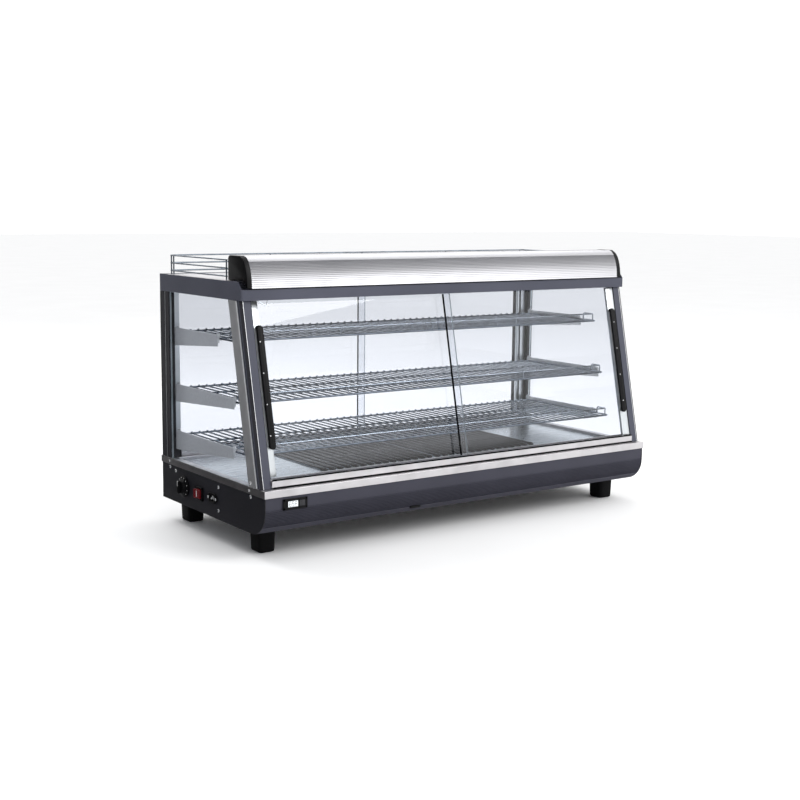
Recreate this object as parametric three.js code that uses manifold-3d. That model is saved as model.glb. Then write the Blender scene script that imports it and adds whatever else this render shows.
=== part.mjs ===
// Hot food display case for a counter: a heated base with a stainless deck, a glazed cabinet
// with sliding doors at the front and the back, three wire racks on bracket arms, and a lit
// canopy with a gallery rail on top.
//
// Frame: millimetres, X runs left to right as a customer sees the case, Y runs from the
// customer's side (negative) to the staff's side (positive), Z is up, and the feet stand on Z = 0.
import * as THREE from 'three';
import { mergeVertices } from 'three/addons/utils/BufferGeometryUtils.js';
import Module from 'manifold-3d';

const wasm = await Module();
wasm.setup();

// ---------------------------------------------------------------- driving dimensions
const CASE_WIDTH = 1200;
const DECK_DEPTH = 540;
const FOOT_HEIGHT = 57;
const TRIM_BOTTOM = 150;
const TRIM_TOP = 167;
const FRAME_BOTTOM = 590.5;
const FRONT_RAIL_TOP = 615.5;
const SIDE_BAND_TOP = 633.5;
const HOOD_TOP = 691.5;

// The front leans back: its outer face passes through these two points.
const LEAN_LOW = { y: -245.5, z: 180 };
const LEAN_HIGH = { y: -155.8, z: 590 };

const GAP = 0.3; // between pieces that touch
const SHEET = 2; // thickness of folded sheet
const OVERRUN = 0.01; // how far one shape enters another that it is joined to
const GLASS = 5; // thickness of the panes
const DOOR_PITCH = 19.5; // from one sliding pane's face to the other's
const DOOR_OVERLAP = 36;
const KNOB_REACH = 21;

const HALF_WIDTH = CASE_WIDTH / 2;
const HALF_DEPTH = DECK_DEPTH / 2;
const LEAN = (LEAN_HIGH.y - LEAN_LOW.y) / (LEAN_HIGH.z - LEAN_LOW.z);
const BASE_HALF_WIDTH = HALF_WIDTH - SHEET;
const BASE_HALF_DEPTH = HALF_DEPTH - 2.5;
const BASE_TOP = TRIM_BOTTOM - GAP;
const WINDOW_BOTTOM = TRIM_TOP + GAP;
const WINDOW_TOP = FRAME_BOTTOM - GAP;
const FLOOR = { halfWidth: 592, halfDepth: 262, top: 160 };
const WELL = { halfWidth: 582, front: -205, rear: 208 }; // opening in the deck's trim

const POST = {
  inner: 571, face: 592, rebate: 597, outer: 599.5, front: -2.5, side: 1.5, corner: 13.7, back: 26,
};
const STRIP_WIDTH = 28; // stainless strip beside each front post
const REAR_POST = { inner: 584, jamb: 565, front: 213, back: 262 };
const SIDE_GLASS_INNER = 592;
const DOOR_OUTER_EDGE = 569;
const DOOR_BOTTOM = 174;
const DOOR_TOP = 603;
const REAR_DOOR_FACE = 231;
const REAR_DOOR_EDGE = 577;
const LEDGE_INNER = 580; // the ledges over the side glass reach in to here

// The rear track's walls and the rear rail's skins stand clear of the panes by these.
const JAMB_FACE = REAR_DOOR_FACE - 3;
const REAR_RAIL_FRONT = REAR_DOOR_FACE - 5;
const REAR_DIVIDER = REAR_DOOR_FACE + GLASS + 6;

// Front rail in section: its skin, its back wall over the lamp, and where the side bands' slope
// from its top ends. The divider stands between the panes.
const FRONT_RAIL = { front: -166.5, back: -120, slopeEnd: -151, divider: 11, flare: 2 };

// Each bar is set in from its pane's outer edge; the left pane's a little further.
const HANDLE = { width: 18, depth: 10.5, bottom: 251, top: 533, inset: { left: 12, right: 7 } };

const RACKS = [
  { name: 'upper', z: 493, front: -92, armTip: -20, armRearHeight: 38, armTipHeight: 20 },
  { name: 'middle', z: 350, front: -127, armTip: -100, armRearHeight: 38, armTipHeight: 18 },
  { name: 'lower', z: 231, front: -154, armTip: -96, armRearHeight: 42, armTipHeight: 18 },
];
const RACK = { halfWidth: 578, rear: 196, wire: 4, rim: 6, pitch: 22 };
const GUARD = { rise: 22, wire: 4.5, pin: 3, halfWidth: 556, pinSpacing: 282 };
const ARM = { inner: 583, ledge: 11, lip: 8 };

const COVER = {
  inner: 2, outer: 346, front: -112, rear: 168, ribs: 15, crest: 0.56, flank: 1, rise: 4, skin: 1.5,
};

const PANEL_TOP = SIDE_BAND_TOP;
const PANEL_BOTTOM = PANEL_TOP - SHEET;
const LAMP = { front: -117, rear: -86, halfWidth: 560, height: 25 };
const HOOD = {
  back: -80, front: -171, crown: -136, bottom: 618.5, rise: 71, corner: 8, skin: 1.5,
  capWidth: 13, capProud: 0.4, halfWidth: 587,
};
const GALLERY = { x: 580, rear: 240, front: -66, top: 682, wire: 4, gap: 15 };

// ---------------------------------------------------------------- materials
function material(colour, roughness, metalness) {
  return new THREE.MeshStandardMaterial({ color: colour, roughness, metalness });
}

const SLATE_PAINT = material('#45454f', 0.45, 0.3);
const DARK_PAINT = material('#34343b', 0.45, 0.3);
const STAINLESS = material('#d4d2d4', 0.3, 1);
const POLISHED_STEEL = material('#e6e4e5', 0.15, 1);
const GREY_STEEL = material('#77797c', 0.4, 1);
const CHROME_WIRE = material('#c4c8cc', 0.2, 1);
const BLACK_PLASTIC = material('#1f1e22', 0.45, 0);
const BLACK_RUBBER = material('#161517', 0.8, 0);
const RED_LENS = material('#a01c22', 0.25, 0);
const DARK_ENAMEL = material('#2b2b2f', 0.35, 0.2);
const LAMP_WHITE = material('#f2f0e8', 0.5, 0);
const ELEMENT_STEEL = material('#6b645e', 0.5, 1);
const CLEAR_GLASS = material('#dfe9ea', 0.05, 0);

// ---------------------------------------------------------------- geometry helpers
const ALONG_X = new THREE.Matrix4().makeBasis(
  new THREE.Vector3(0, 1, 0), new THREE.Vector3(0, 0, 1), new THREE.Vector3(1, 0, 0));
const ALONG_Y = new THREE.Matrix4().makeBasis(
  new THREE.Vector3(1, 0, 0), new THREE.Vector3(0, 0, 1), new THREE.Vector3(0, -1, 0));

// Slides every point towards the customer or the staff so that a box standing on Y = 0
// leans with the front face.
const LEAN_BACK = new THREE.Matrix4().set(
  1, 0, 0, 0,
  0, 1, LEAN, LEAN_LOW.y - LEAN * LEAN_LOW.z,
  0, 0, 1, 0,
  0, 0, 0, 1);

function shapeOf(outline, holes = []) {
  const shape = outline instanceof THREE.Shape
    ? outline
    : new THREE.Shape(outline.map(([a, b]) => new THREE.Vector2(a, b)));
  for (const hole of holes) {
    shape.holes.push(new THREE.Path(hole.map(([a, b]) => new THREE.Vector2(a, b))));
  }
  return shape;
}

function extrude(outline, depth, holes, curveSegments = 6) {
  return new THREE.ExtrudeGeometry(shapeOf(outline, holes), {
    depth, bevelEnabled: false, curveSegments,
  });
}

// Outline in (y, z), swept from x0 to x1.
function prismX(outline, x0, x1, holes, curveSegments) {
  return extrude(outline, x1 - x0, holes, curveSegments).applyMatrix4(ALONG_X).translate(x0, 0, 0);
}

// Outline in (x, z), swept from y0 to y1.
function prismY(outline, y0, y1, holes, curveSegments) {
  return extrude(outline, y1 - y0, holes, curveSegments).applyMatrix4(ALONG_Y).translate(0, y1, 0);
}

// Outline in (x, y), swept from z0 to z1.
function prismZ(outline, z0, z1, holes, curveSegments) {
  return extrude(outline, z1 - z0, holes, curveSegments).translate(0, 0, z0);
}

function block(x0, x1, y0, y1, z0, z1) {
  return new THREE.BoxGeometry(x1 - x0, y1 - y0, z1 - z0)
    .translate((x0 + x1) / 2, (y0 + y1) / 2, (z0 + z1) / 2);
}

function rectangle(a0, a1, b0, b1) {
  return [[a0, b0], [a1, b0], [a1, b1], [a0, b1]];
}

// A slot shape with half-round ends, standing upright in its own plane.
function capsule(width, bottom, top) {
  const radius = width / 2;
  const shape = new THREE.Shape();
  shape.absarc(0, top - radius, radius, 0, Math.PI, false);
  shape.absarc(0, bottom + radius, radius, Math.PI, 2 * Math.PI, false);
  shape.closePath();
  return shape;
}

// Distance inwards from the leaning front face, measured level, becomes a plain Y here.
function leaning(geometry) {
  return geometry.applyMatrix4(LEAN_BACK);
}

function leanY(z, inset = 0) {
  return LEAN_LOW.y + LEAN * (z - LEAN_LOW.z) + inset;
}

function weld(geometry) {
  const bare = geometry.clone();
  bare.deleteAttribute('normal');
  bare.deleteAttribute('uv');
  return mergeVertices(bare, 1e-4);
}

// A right-hand piece reflected to the left, with its triangles turned to face out again.
function mirrored(geometry) {
  const flipped = weld(geometry).scale(-1, 1, 1);
  flipped.index.array.reverse();
  flipped.computeVertexNormals();
  return flipped;
}

function sided(side, geometry) {
  return side < 0 ? mirrored(geometry) : geometry;
}

function toSolid(geometry) {
  const welded = weld(geometry);
  return new wasm.Manifold(new wasm.Mesh({
    numProp: 3,
    vertProperties: new Float32Array(welded.attributes.position.array),
    triVerts: new Uint32Array(welded.index.array),
  }));
}

function toGeometry(solid) {
  const mesh = solid.getMesh();
  const geometry = new THREE.BufferGeometry();
  geometry.setAttribute('position', new THREE.BufferAttribute(mesh.vertProperties, 3));
  geometry.setIndex(new THREE.BufferAttribute(mesh.triVerts, 1));
  geometry.computeVertexNormals();
  return geometry;
}

function join(first, ...rest) {
  return toGeometry(rest.reduce((solid, next) => solid.add(toSolid(next)), toSolid(first)));
}

function cut(body, ...tools) {
  return toGeometry(tools.reduce((solid, tool) => solid.subtract(toSolid(tool)), toSolid(body)));
}

// ---------------------------------------------------------------- scene graph
// Only the knob stands out past the deck's trim, on the left, so the case sits half that much to
// the right of the origin, which is the middle of the whole, on the counter.
const displayCase = new THREE.Group();
displayCase.position.x = (KNOB_REACH + BASE_HALF_WIDTH - HALF_WIDTH) / 2;

function add(name, geometry, look, place = [0, 0, 0]) {
  const mesh = new THREE.Mesh(geometry, look);
  mesh.name = name;
  mesh.position.set(...place);
  displayCase.add(mesh);
}

const SIDES = [['left', -1], ['right', 1]];

// ---------------------------------------------------------------- base
const BEND_RADIUS = 62; // the front panel rolls under with this radius
const PANEL_REACH = BASE_HALF_WIDTH - SHEET - GAP; // half length of what fits between the sides
const BEND_CENTRE = { y: -BASE_HALF_DEPTH + BEND_RADIUS, z: FOOT_HEIGHT + BEND_RADIUS };

// The lower front corner of the base, a quarter circle from upright to flat.
function bendPoints(radius, steps = 16) {
  const points = [];
  for (let step = 0; step <= steps; step++) {
    const angle = (step / steps) * Math.PI / 2;
    points.push([
      BEND_CENTRE.y - radius * Math.cos(angle),
      BEND_CENTRE.z - radius * Math.sin(angle),
    ]);
  }
  return points;
}

function baseFrontPanel() {
  const outer = bendPoints(BEND_RADIUS);
  const inner = bendPoints(BEND_RADIUS - SHEET).reverse();
  const outline = [
    [-BASE_HALF_DEPTH, BASE_TOP], ...outer, ...inner, [-BASE_HALF_DEPTH + SHEET, BASE_TOP],
  ];
  const panel = prismX(outline, -PANEL_REACH, PANEL_REACH);
  const halfWidth = THERMOMETER.width / 2 - THERMOMETER.lap + GAP;
  const halfHeight = THERMOMETER.height / 2 - THERMOMETER.lap + GAP;
  const socket = block(
    THERMOMETER.x - halfWidth, THERMOMETER.x + halfWidth,
    -HALF_DEPTH, -BASE_HALF_DEPTH + 2 * SHEET,
    THERMOMETER.z - halfHeight, THERMOMETER.z + halfHeight);
  return cut(panel, socket);
}

function baseSidePanel(holes) {
  const outline = [
    ...bendPoints(BEND_RADIUS), [BASE_HALF_DEPTH, FOOT_HEIGHT], [BASE_HALF_DEPTH, BASE_TOP],
    [-BASE_HALF_DEPTH, BASE_TOP],
  ];
  return prismX(outline, BASE_HALF_WIDTH - SHEET, BASE_HALF_WIDTH, holes);
}

// A regular polygon hole in (y, z).
function roundHole(y, z, radius, sides = 16) {
  return Array.from({ length: sides }, (_, i) => {
    const angle = (2 * Math.PI * i) / sides;
    return [y + radius * Math.cos(angle), z + radius * Math.sin(angle)];
  });
}

// Two groups of upright slots in the back.
const VENT = { x: 360, pitch: 16, each: 4, width: 5, bottom: 84, top: 124 };

function baseRearPanel() {
  const face = BASE_HALF_DEPTH;
  const vents = [];
  for (const middle of [-VENT.x, VENT.x]) {
    for (let column = -VENT.each; column <= VENT.each; column++) {
      const left = middle + VENT.pitch * column - VENT.width / 2;
      vents.push(block(
        left, left + VENT.width, face - 2 * SHEET, face + SHEET, VENT.bottom, VENT.top));
    }
  }
  const sheet = block(-PANEL_REACH, PANEL_REACH, face - SHEET, face, FOOT_HEIGHT, BASE_TOP);
  return cut(sheet, ...vents);
}

function bottomPlate() {
  return block(
    -PANEL_REACH, PANEL_REACH, BEND_CENTRE.y + GAP, BASE_HALF_DEPTH - SHEET - GAP,
    FOOT_HEIGHT, FOOT_HEIGHT + SHEET);
}

// Four-sided tapering foot with a rounded sole. The taper gives the share of the full width
// at each level.
const FOOT = {
  x: 545, frontY: -161.5, rearY: 205, width: 46, depth: 52, top: FOOT_HEIGHT - GAP,
  taper: [[0.74, 0], [0.84, 1.5], [0.9, 5], [0.94, 11]],
};

function foot() {
  const rim = Math.SQRT1_2 * FOOT.width;
  const wall = FOOT.taper.map(([share, z]) => [share * rim, z]);
  const profile = [[0, 0], ...wall, [rim, FOOT.top], [0, FOOT.top]]
    .map(([radius, z]) => new THREE.Vector2(radius, z));
  return new THREE.LatheGeometry(profile, 4)
    .rotateX(Math.PI / 2)
    .rotateZ(Math.PI / 4)
    .scale(1, FOOT.depth / FOOT.width, 1);
}

// ---------------------------------------------------------------- deck
// Frame of sheet around the deck, folded down along its outer and inner edges.
function deckTrim() {
  const outer = (inset) => rectangle(
    -HALF_WIDTH + inset, HALF_WIDTH - inset, -HALF_DEPTH + inset, HALF_DEPTH - inset);
  const inner = (inset) => rectangle(
    -WELL.halfWidth - inset, WELL.halfWidth + inset, WELL.front - inset, WELL.rear + inset);
  const under = TRIM_TOP - SHEET;
  return join(
    prismZ(outer(0), under, TRIM_TOP, [inner(0)]),
    prismZ(outer(0), TRIM_BOTTOM, under, [outer(SHEET)]),
    prismZ(inner(SHEET), FLOOR.top + GAP, under, [inner(0)]));
}

function floorDeck() {
  const { halfWidth, halfDepth, top } = FLOOR;
  return block(-halfWidth, halfWidth, -halfDepth, halfDepth, top - SHEET, top);
}

// Corrugated plate: ribs run from front to back.
function heaterCover() {
  const low = FLOOR.top + GAP;
  const valley = low + COVER.skin;
  const top = valley + COVER.rise;
  const pitch = (COVER.outer - COVER.inner) / COVER.ribs;
  const crest = COVER.crest * pitch;
  const upper = [];
  for (let rib = 0; rib < COVER.ribs; rib++) {
    const start = COVER.inner + rib * pitch + (pitch - crest) / 2;
    const end = start + crest;
    upper.push([start - COVER.flank, valley], [start + COVER.flank, top]);
    upper.push([end - COVER.flank, top], [end + COVER.flank, valley]);
  }
  const outline = [
    [COVER.inner, low], [COVER.outer, low], [COVER.outer, valley],
    ...upper.reverse(), [COVER.inner, valley],
  ];
  return prismY(outline, COVER.front, COVER.rear);
}

// Tubular element bent to and fro under the deck.
function heatingElement() {
  const z = 138;
  const tube = 7;
  const runs = { x: 500, front: -105, pitch: 52, count: 6 };
  const bars = [];
  for (let run = 0; run < runs.count; run++) {
    const y = runs.front + run * runs.pitch;
    bars.push(block(-runs.x, runs.x, y - tube / 2, y + tube / 2, z, z + tube));
  }
  for (let turn = 0; turn < runs.count - 1; turn++) {
    const end = turn % 2 === 0 ? runs.x : -runs.x;
    const y = runs.front + turn * runs.pitch;
    bars.push(block(end - tube / 2, end + tube / 2, y - tube / 2, y + runs.pitch + tube / 2,
      z, z + tube));
  }
  return join(...bars);
}

// ---------------------------------------------------------------- controls
// Each control is drawn round its own middle, with the side panel's outer face at X = 0 and the
// customer's end of the case outwards along -X.
const KNOB = { y: 140, z: 106, radius: 27, skirt: 4, shaft: 3, shaftLength: 12, hole: 4.9 };
const THERMOSTAT = { near: 9, far: 44, half: 21, bush: 4.4, bushLength: 10, bore: 3.4, boreLength: 40 };
const ROCKER = {
  y: 56, z: 104, width: 38, height: 33, proud: 5, tilt: Math.PI / 22,
  wall: 3, rim: 5, depth: 30, pocket: 14,
};
const INLET = {
  y: -12, z: 105, width: 50, height: 24, flange: 3, corner: 9, tip: 4,
  shell: { halfWidth: 14, halfHeight: 10, depth: 24 },
  socket: { halfWidth: 11.5, halfHeight: 7.5, corner: 4, depth: 17 },
};
const THERMOMETER = { x: -519.5, z: 131, width: 65, height: 26, proud: 2.4, lap: 4.4, depth: 16 };
const CUT = 1; // how far a cutting tool passes beyond what it cuts

// Skirt, grip and shaft in one turned piece, facing -X.
function thermostatKnob() {
  const { radius, skirt, shaft, shaftLength } = KNOB;
  const low = 0.5; // clear of the panel
  const profile = [
    [0, low], [radius, low], [radius, skirt], [radius - 2, skirt + 1.5],
    [radius - 7, skirt + 2], [radius - 9, KNOB_REACH - 2], [radius - 11, KNOB_REACH],
    [0, KNOB_REACH],
  ].map(([across, reach]) => new THREE.Vector2(across, reach));
  const turned = new THREE.LatheGeometry(profile, 24);
  const pin = new THREE.CylinderGeometry(shaft, shaft, shaftLength, 12)
    .translate(0, 1 - shaftLength / 2, 0);
  return join(turned, pin).rotateZ(Math.PI / 2);
}

// Box behind the panel with a bush that the knob's shaft turns in.
function thermostatBody() {
  const { near, far, half, bush, bushLength, bore, boreLength } = THERMOSTAT;
  const box = block(near, far, -half, half, -half, half);
  const collar = new THREE.CylinderGeometry(bush, bush, bushLength, 12)
    .rotateZ(Math.PI / 2)
    .translate(GAP + bushLength / 2, 0, 0);
  const hole = new THREE.CylinderGeometry(bore, bore, boreLength, 12)
    .rotateZ(Math.PI / 2)
    .translate(-3, 0, 0);
  return cut(join(box, collar), hole);
}

// Half width and half height of the switch, set in from its bezel's edge.
function rockerHalves(inset) {
  return [ROCKER.width / 2 - inset, ROCKER.height / 2 - inset];
}

function switchBody() {
  const { proud, wall, rim, depth, pocket } = ROCKER;
  const [bezelY, bezelZ] = rockerHalves(0);
  const [boxY, boxZ] = rockerHalves(wall);
  const [pocketY, pocketZ] = rockerHalves(rim);
  const bezel = block(-proud, -GAP, -bezelY, bezelY, -bezelZ, bezelZ);
  const box = block(-CUT, depth, -boxY, boxY, -boxZ, boxZ);
  const hollow = block(-proud - CUT, pocket, -pocketY, pocketY, -pocketZ, pocketZ);
  return cut(join(bezel, box), hollow);
}

// Outline in plan: a shallow V face over a narrow back. It rocks about an upright pivot on the
// panel's face, and stands here in its on position.
function switchRocker() {
  const halfWidth = ROCKER.width / 2 - 6.2;
  const halfHeight = ROCKER.height / 2 - 5.5;
  const face = { edge: -ROCKER.proud - 6.5, middle: -ROCKER.proud - 3.6 };
  const back = { shoulder: 2, end: 7, half: 6 };
  const outline = [
    [face.edge, -halfWidth], [face.middle, 0], [face.edge, halfWidth],
    [back.shoulder, halfWidth - 2 * GAP], [back.end, back.half], [back.end, -back.half],
    [back.shoulder, -halfWidth + 2 * GAP],
  ];
  return prismZ(outline, -halfHeight, halfHeight).rotateZ(ROCKER.tilt);
}

// Long hexagon with blunt tips, in (y, z).
function inletShape() {
  const end = INLET.width / 2;
  const half = INLET.height / 2;
  const { corner, tip } = INLET;
  return [
    [-end, -tip], [-end + corner, -half], [end - corner, -half], [end, -tip],
    [end, tip], [end - corner, half], [-end + corner, half], [-end, tip],
  ];
}

function powerInlet() {
  const { flange, shell, socket } = INLET;
  const plate = prismX(inletShape(), -flange, -GAP);
  const body = prismX(
    rectangle(-shell.halfWidth, shell.halfWidth, -shell.halfHeight, shell.halfHeight),
    -CUT, shell.depth);
  const { halfWidth, halfHeight, corner } = socket;
  const hollow = prismX([
    [-halfWidth, -halfHeight], [halfWidth, -halfHeight], [halfWidth, halfHeight - corner],
    [halfWidth - corner, halfHeight], [-halfWidth + corner, halfHeight],
    [-halfWidth, halfHeight - corner],
  ], -flange - CUT, socket.depth);
  return cut(join(plate, body), hollow);
}

// Holes in the left side panel for the knob's shaft, the switch and the inlet, in (y, z).
function controlHoles() {
  const [rockerY, rockerZ] = rockerHalves(ROCKER.wall - 0.4);
  const inletY = INLET.shell.halfWidth + 0.4;
  const inletZ = INLET.shell.halfHeight + 0.4;
  return [
    roundHole(KNOB.y, KNOB.z, KNOB.hole),
    rectangle(ROCKER.y - rockerY, ROCKER.y + rockerY, ROCKER.z - rockerZ, ROCKER.z + rockerZ),
    rectangle(INLET.y - inletY, INLET.y + inletY, INLET.z - inletZ, INLET.z + inletZ),
  ];
}

function thermometer() {
  const { width, height, proud, lap, depth } = THERMOMETER;
  const bezel = block(-width / 2, width / 2, -proud, -GAP, -height / 2, height / 2);
  const box = block(
    -width / 2 + lap, width / 2 - lap, -CUT, depth, -height / 2 + lap, height / 2 - lap);
  return join(bezel, box);
}

// ---------------------------------------------------------------- cabinet frame
function frontPost() {
  const outline = [
    [POST.inner, POST.front], [POST.face, POST.front], [POST.outer, POST.side],
    [POST.outer, POST.corner], [POST.rebate, POST.corner], [POST.rebate, POST.back],
    [POST.inner, POST.back],
  ];
  const hollow = [
    [POST.inner + SHEET, POST.front + SHEET], [POST.face - SHEET, POST.front + SHEET],
    [POST.rebate - SHEET, POST.side + SHEET], [POST.rebate - SHEET, POST.back - SHEET],
    [POST.inner + SHEET, POST.back - SHEET],
  ];
  return leaning(prismZ(outline, WINDOW_BOTTOM, WINDOW_TOP, [hollow]));
}

function frontPostStrip() {
  const near = POST.back + GAP;
  const outline = rectangle(POST.rebate + GAP, POST.outer, POST.corner + GAP, near + STRIP_WIDTH);
  return leaning(prismZ(outline, WINDOW_BOTTOM, WINDOW_TOP));
}

// Channel post, open towards the back doors, with a jamb that the door closes into.
function rearPost() {
  const { inner, jamb, front, back } = REAR_POST;
  const outline = [
    [HALF_WIDTH, front], [HALF_WIDTH, back], [jamb, back], [jamb, back - SHEET],
    [inner - SHEET, back - SHEET], [inner - SHEET, JAMB_FACE], [jamb, JAMB_FACE],
    [jamb, JAMB_FACE - SHEET], [inner, JAMB_FACE - SHEET], [inner, front],
  ];
  const hollow = rectangle(inner + SHEET, HALF_WIDTH - SHEET, front + SHEET, back - SHEET);
  return prismZ(outline, WINDOW_BOTTOM, WINDOW_TOP, [hollow]);
}

function sideGlass() {
  const inset = POST.back + GAP;
  const rear = REAR_POST.front - GAP;
  const outline = [
    [leanY(WINDOW_BOTTOM, inset), WINDOW_BOTTOM], [rear, WINDOW_BOTTOM],
    [rear, WINDOW_TOP], [leanY(WINDOW_TOP, inset), WINDOW_TOP],
  ];
  return prismX(outline, SIDE_GLASS_INNER, SIDE_GLASS_INNER + GLASS);
}

const RAIL_REACH = HALF_WIDTH - SHEET - GAP; // half length of what fits between the side bands

// Comb section open downwards: front skin, divider between the panes, and back wall, which
// rises behind the lamp's slot.
function topFrontRail() {
  const { front, back, flare } = FRONT_RAIL;
  const roof = FRONT_RAIL_TOP - SHEET;
  const divider = leanY(FRAME_BOTTOM, FRONT_RAIL.divider);
  const outline = [
    [front, FRAME_BOTTOM], [front, FRONT_RAIL_TOP], [back - SHEET, FRONT_RAIL_TOP],
    [back - SHEET, PANEL_BOTTOM - GAP], [back, PANEL_BOTTOM - GAP], [back, FRAME_BOTTOM],
    [back - SHEET, FRAME_BOTTOM], [back - SHEET, roof], [divider + SHEET + flare, roof],
    [divider + SHEET, FRAME_BOTTOM], [divider, FRAME_BOTTOM], [divider + flare, roof],
    [front + SHEET, roof], [front + SHEET, FRAME_BOTTOM],
  ];
  return prismX(outline, -RAIL_REACH, RAIL_REACH);
}

// The same comb over the back doors, as high as the side bands.
function topRearRail() {
  const front = REAR_RAIL_FRONT;
  const back = REAR_POST.back;
  const divider = REAR_DIVIDER;
  const roof = SIDE_BAND_TOP - SHEET;
  const outline = [
    [front, FRAME_BOTTOM], [front, SIDE_BAND_TOP], [back, SIDE_BAND_TOP], [back, FRAME_BOTTOM],
    [back - SHEET, FRAME_BOTTOM], [back - SHEET, roof], [divider + SHEET, roof],
    [divider + SHEET, FRAME_BOTTOM], [divider, FRAME_BOTTOM], [divider, roof],
    [front + SHEET, roof], [front + SHEET, FRAME_BOTTOM],
  ];
  return prismX(outline, -RAIL_REACH, RAIL_REACH);
}

// Outer skin with a ledge over the side glass and an upstand for the top panel.
function topSideBand() {
  const skin = [
    [FRONT_RAIL.front, FRAME_BOTTOM], [REAR_POST.back, FRAME_BOTTOM],
    [REAR_POST.back, SIDE_BAND_TOP], [FRONT_RAIL.slopeEnd, SIDE_BAND_TOP],
    [FRONT_RAIL.front, FRONT_RAIL_TOP],
  ];
  const near = FRONT_RAIL.back + 0.5;
  const far = REAR_RAIL_FRONT - GAP;
  const wall = HALF_WIDTH - SHEET;
  return join(
    prismX(skin, wall, HALF_WIDTH),
    block(LEDGE_INNER, wall + OVERRUN, near, far, FRAME_BOTTOM, FRAME_BOTTOM + SHEET),
    block(LEDGE_INNER, LEDGE_INNER + SHEET, near, far, FRAME_BOTTOM, PANEL_BOTTOM - GAP));
}

// ---------------------------------------------------------------- glass doors and tracks
const DOOR_INNER_EDGE = DOOR_OVERLAP / 2;

function frontDoor(side) {
  const inset = side < 0 ? DOOR_PITCH : 0;
  const pane = block(-DOOR_INNER_EDGE, DOOR_OUTER_EDGE, inset, inset + GLASS, DOOR_BOTTOM, DOOR_TOP);
  return sided(side, leaning(pane));
}

// Long grip bar on the face of each front pane, along its outer edge.
function frontHandle(side) {
  const face = (side < 0 ? DOOR_PITCH : 0) - GAP;
  const inset = side < 0 ? HANDLE.inset.left : HANDLE.inset.right;
  const x = DOOR_OUTER_EDGE - inset - HANDLE.width / 2;
  const bar = prismY(capsule(HANDLE.width, HANDLE.bottom, HANDLE.top), face - HANDLE.depth, face)
    .translate(x, 0, 0);
  return sided(side, leaning(bar));
}

function rearDoor(side) {
  const face = REAR_DOOR_FACE + (side < 0 ? DOOR_PITCH : 0);
  return sided(side, block(
    -DOOR_INNER_EDGE, REAR_DOOR_EDGE, face, face + GLASS, DOOR_BOTTOM, DOOR_TOP));
}

const TRACK_TOP = 184.5;

// E-shaped channel laid on the deck; the panes run between its walls. walls holds the near face
// of each of them.
function track(walls, reach) {
  const low = TRIM_TOP + GAP;
  const bed = low + SHEET;
  const outline = [[walls[0], low]];
  for (const near of walls) {
    const far = near + SHEET;
    outline.push([near, bed], [near, TRACK_TOP], [far, TRACK_TOP], [far, bed]);
  }
  outline.push([walls.at(-1) + SHEET, low]);
  return prismX(outline, -reach, reach);
}

function frontTrack() {
  const walls = [-4.5, 11.5, 31].map((inset) => leanY(TRIM_TOP, inset));
  return track(walls, POST.inner - GAP);
}

function rearTrack() {
  return track([REAR_RAIL_FRONT - SHEET, REAR_DIVIDER, REAR_POST.back - SHEET], REAR_POST.jamb - GAP);
}

// ---------------------------------------------------------------- racks
// Flat grille: a rim, a middle stay and wires from front to back.
function rackGrille(rack) {
  const { halfWidth, rear, wire, rim, pitch } = RACK;
  const count = Math.round((2 * halfWidth - 2 * rim) / pitch);
  const step = (2 * halfWidth - 2 * rim) / count;
  const stay = (rack.front + rear) / 2;
  const rows = [[rack.front + rim, stay - rim / 2], [stay + rim / 2, rear - rim]];
  const holes = [];
  for (let column = 0; column < count; column++) {
    const left = -halfWidth + rim + column * step + (column > 0 ? wire / 2 : 0);
    const right = -halfWidth + rim + (column + 1) * step - (column < count - 1 ? wire / 2 : 0);
    for (const [near, far] of rows) {
      holes.push(block(left, right, near, far, rack.z - 2 * wire, rack.z + wire));
    }
  }
  return cut(block(-halfWidth, halfWidth, rack.front, rear, rack.z - wire, rack.z), ...holes);
}

// Raised wire along the rack's front edge, on five pins.
function rackGuard(rack) {
  const { rise, wire, pin, halfWidth, pinSpacing } = GUARD;
  const foot = rack.z + GAP;
  const near = rack.front + 1;
  const pins = [-halfWidth + pin / 2, -pinSpacing, 0, pinSpacing, halfWidth - pin / 2];
  const windows = pins.slice(1).map((x, bay) => block(
    pins[bay] + pin / 2, x - pin / 2, near - wire, near + 2 * wire, foot - wire, foot + rise - wire));
  return cut(block(-halfWidth, halfWidth, near, near + wire, foot, foot + rise), ...windows);
}

// Tapering arm hung on the rear post, with a ledge that the rack rests on.
function bracketArm(rack) {
  const top = rack.z + ARM.lip;
  const rear = REAR_POST.front - GAP;
  const seat = rack.z - RACK.wire - GAP;
  const plate = prismX([
    [rear, rack.z - rack.armRearHeight], [rear, top],
    [rack.armTip, top], [rack.armTip, rack.z - rack.armTipHeight],
  ], ARM.inner, ARM.inner + SHEET);
  const ledge = block(ARM.inner - ARM.ledge, ARM.inner + OVERRUN, rack.armTip, rear - 20,
    seat - SHEET, seat);
  return join(plate, ledge);
}

// ---------------------------------------------------------------- canopy
function topPanel() {
  return block(
    -RAIL_REACH, RAIL_REACH, LAMP.rear + GAP, REAR_RAIL_FRONT - GAP, PANEL_BOTTOM, PANEL_TOP);
}

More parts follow.
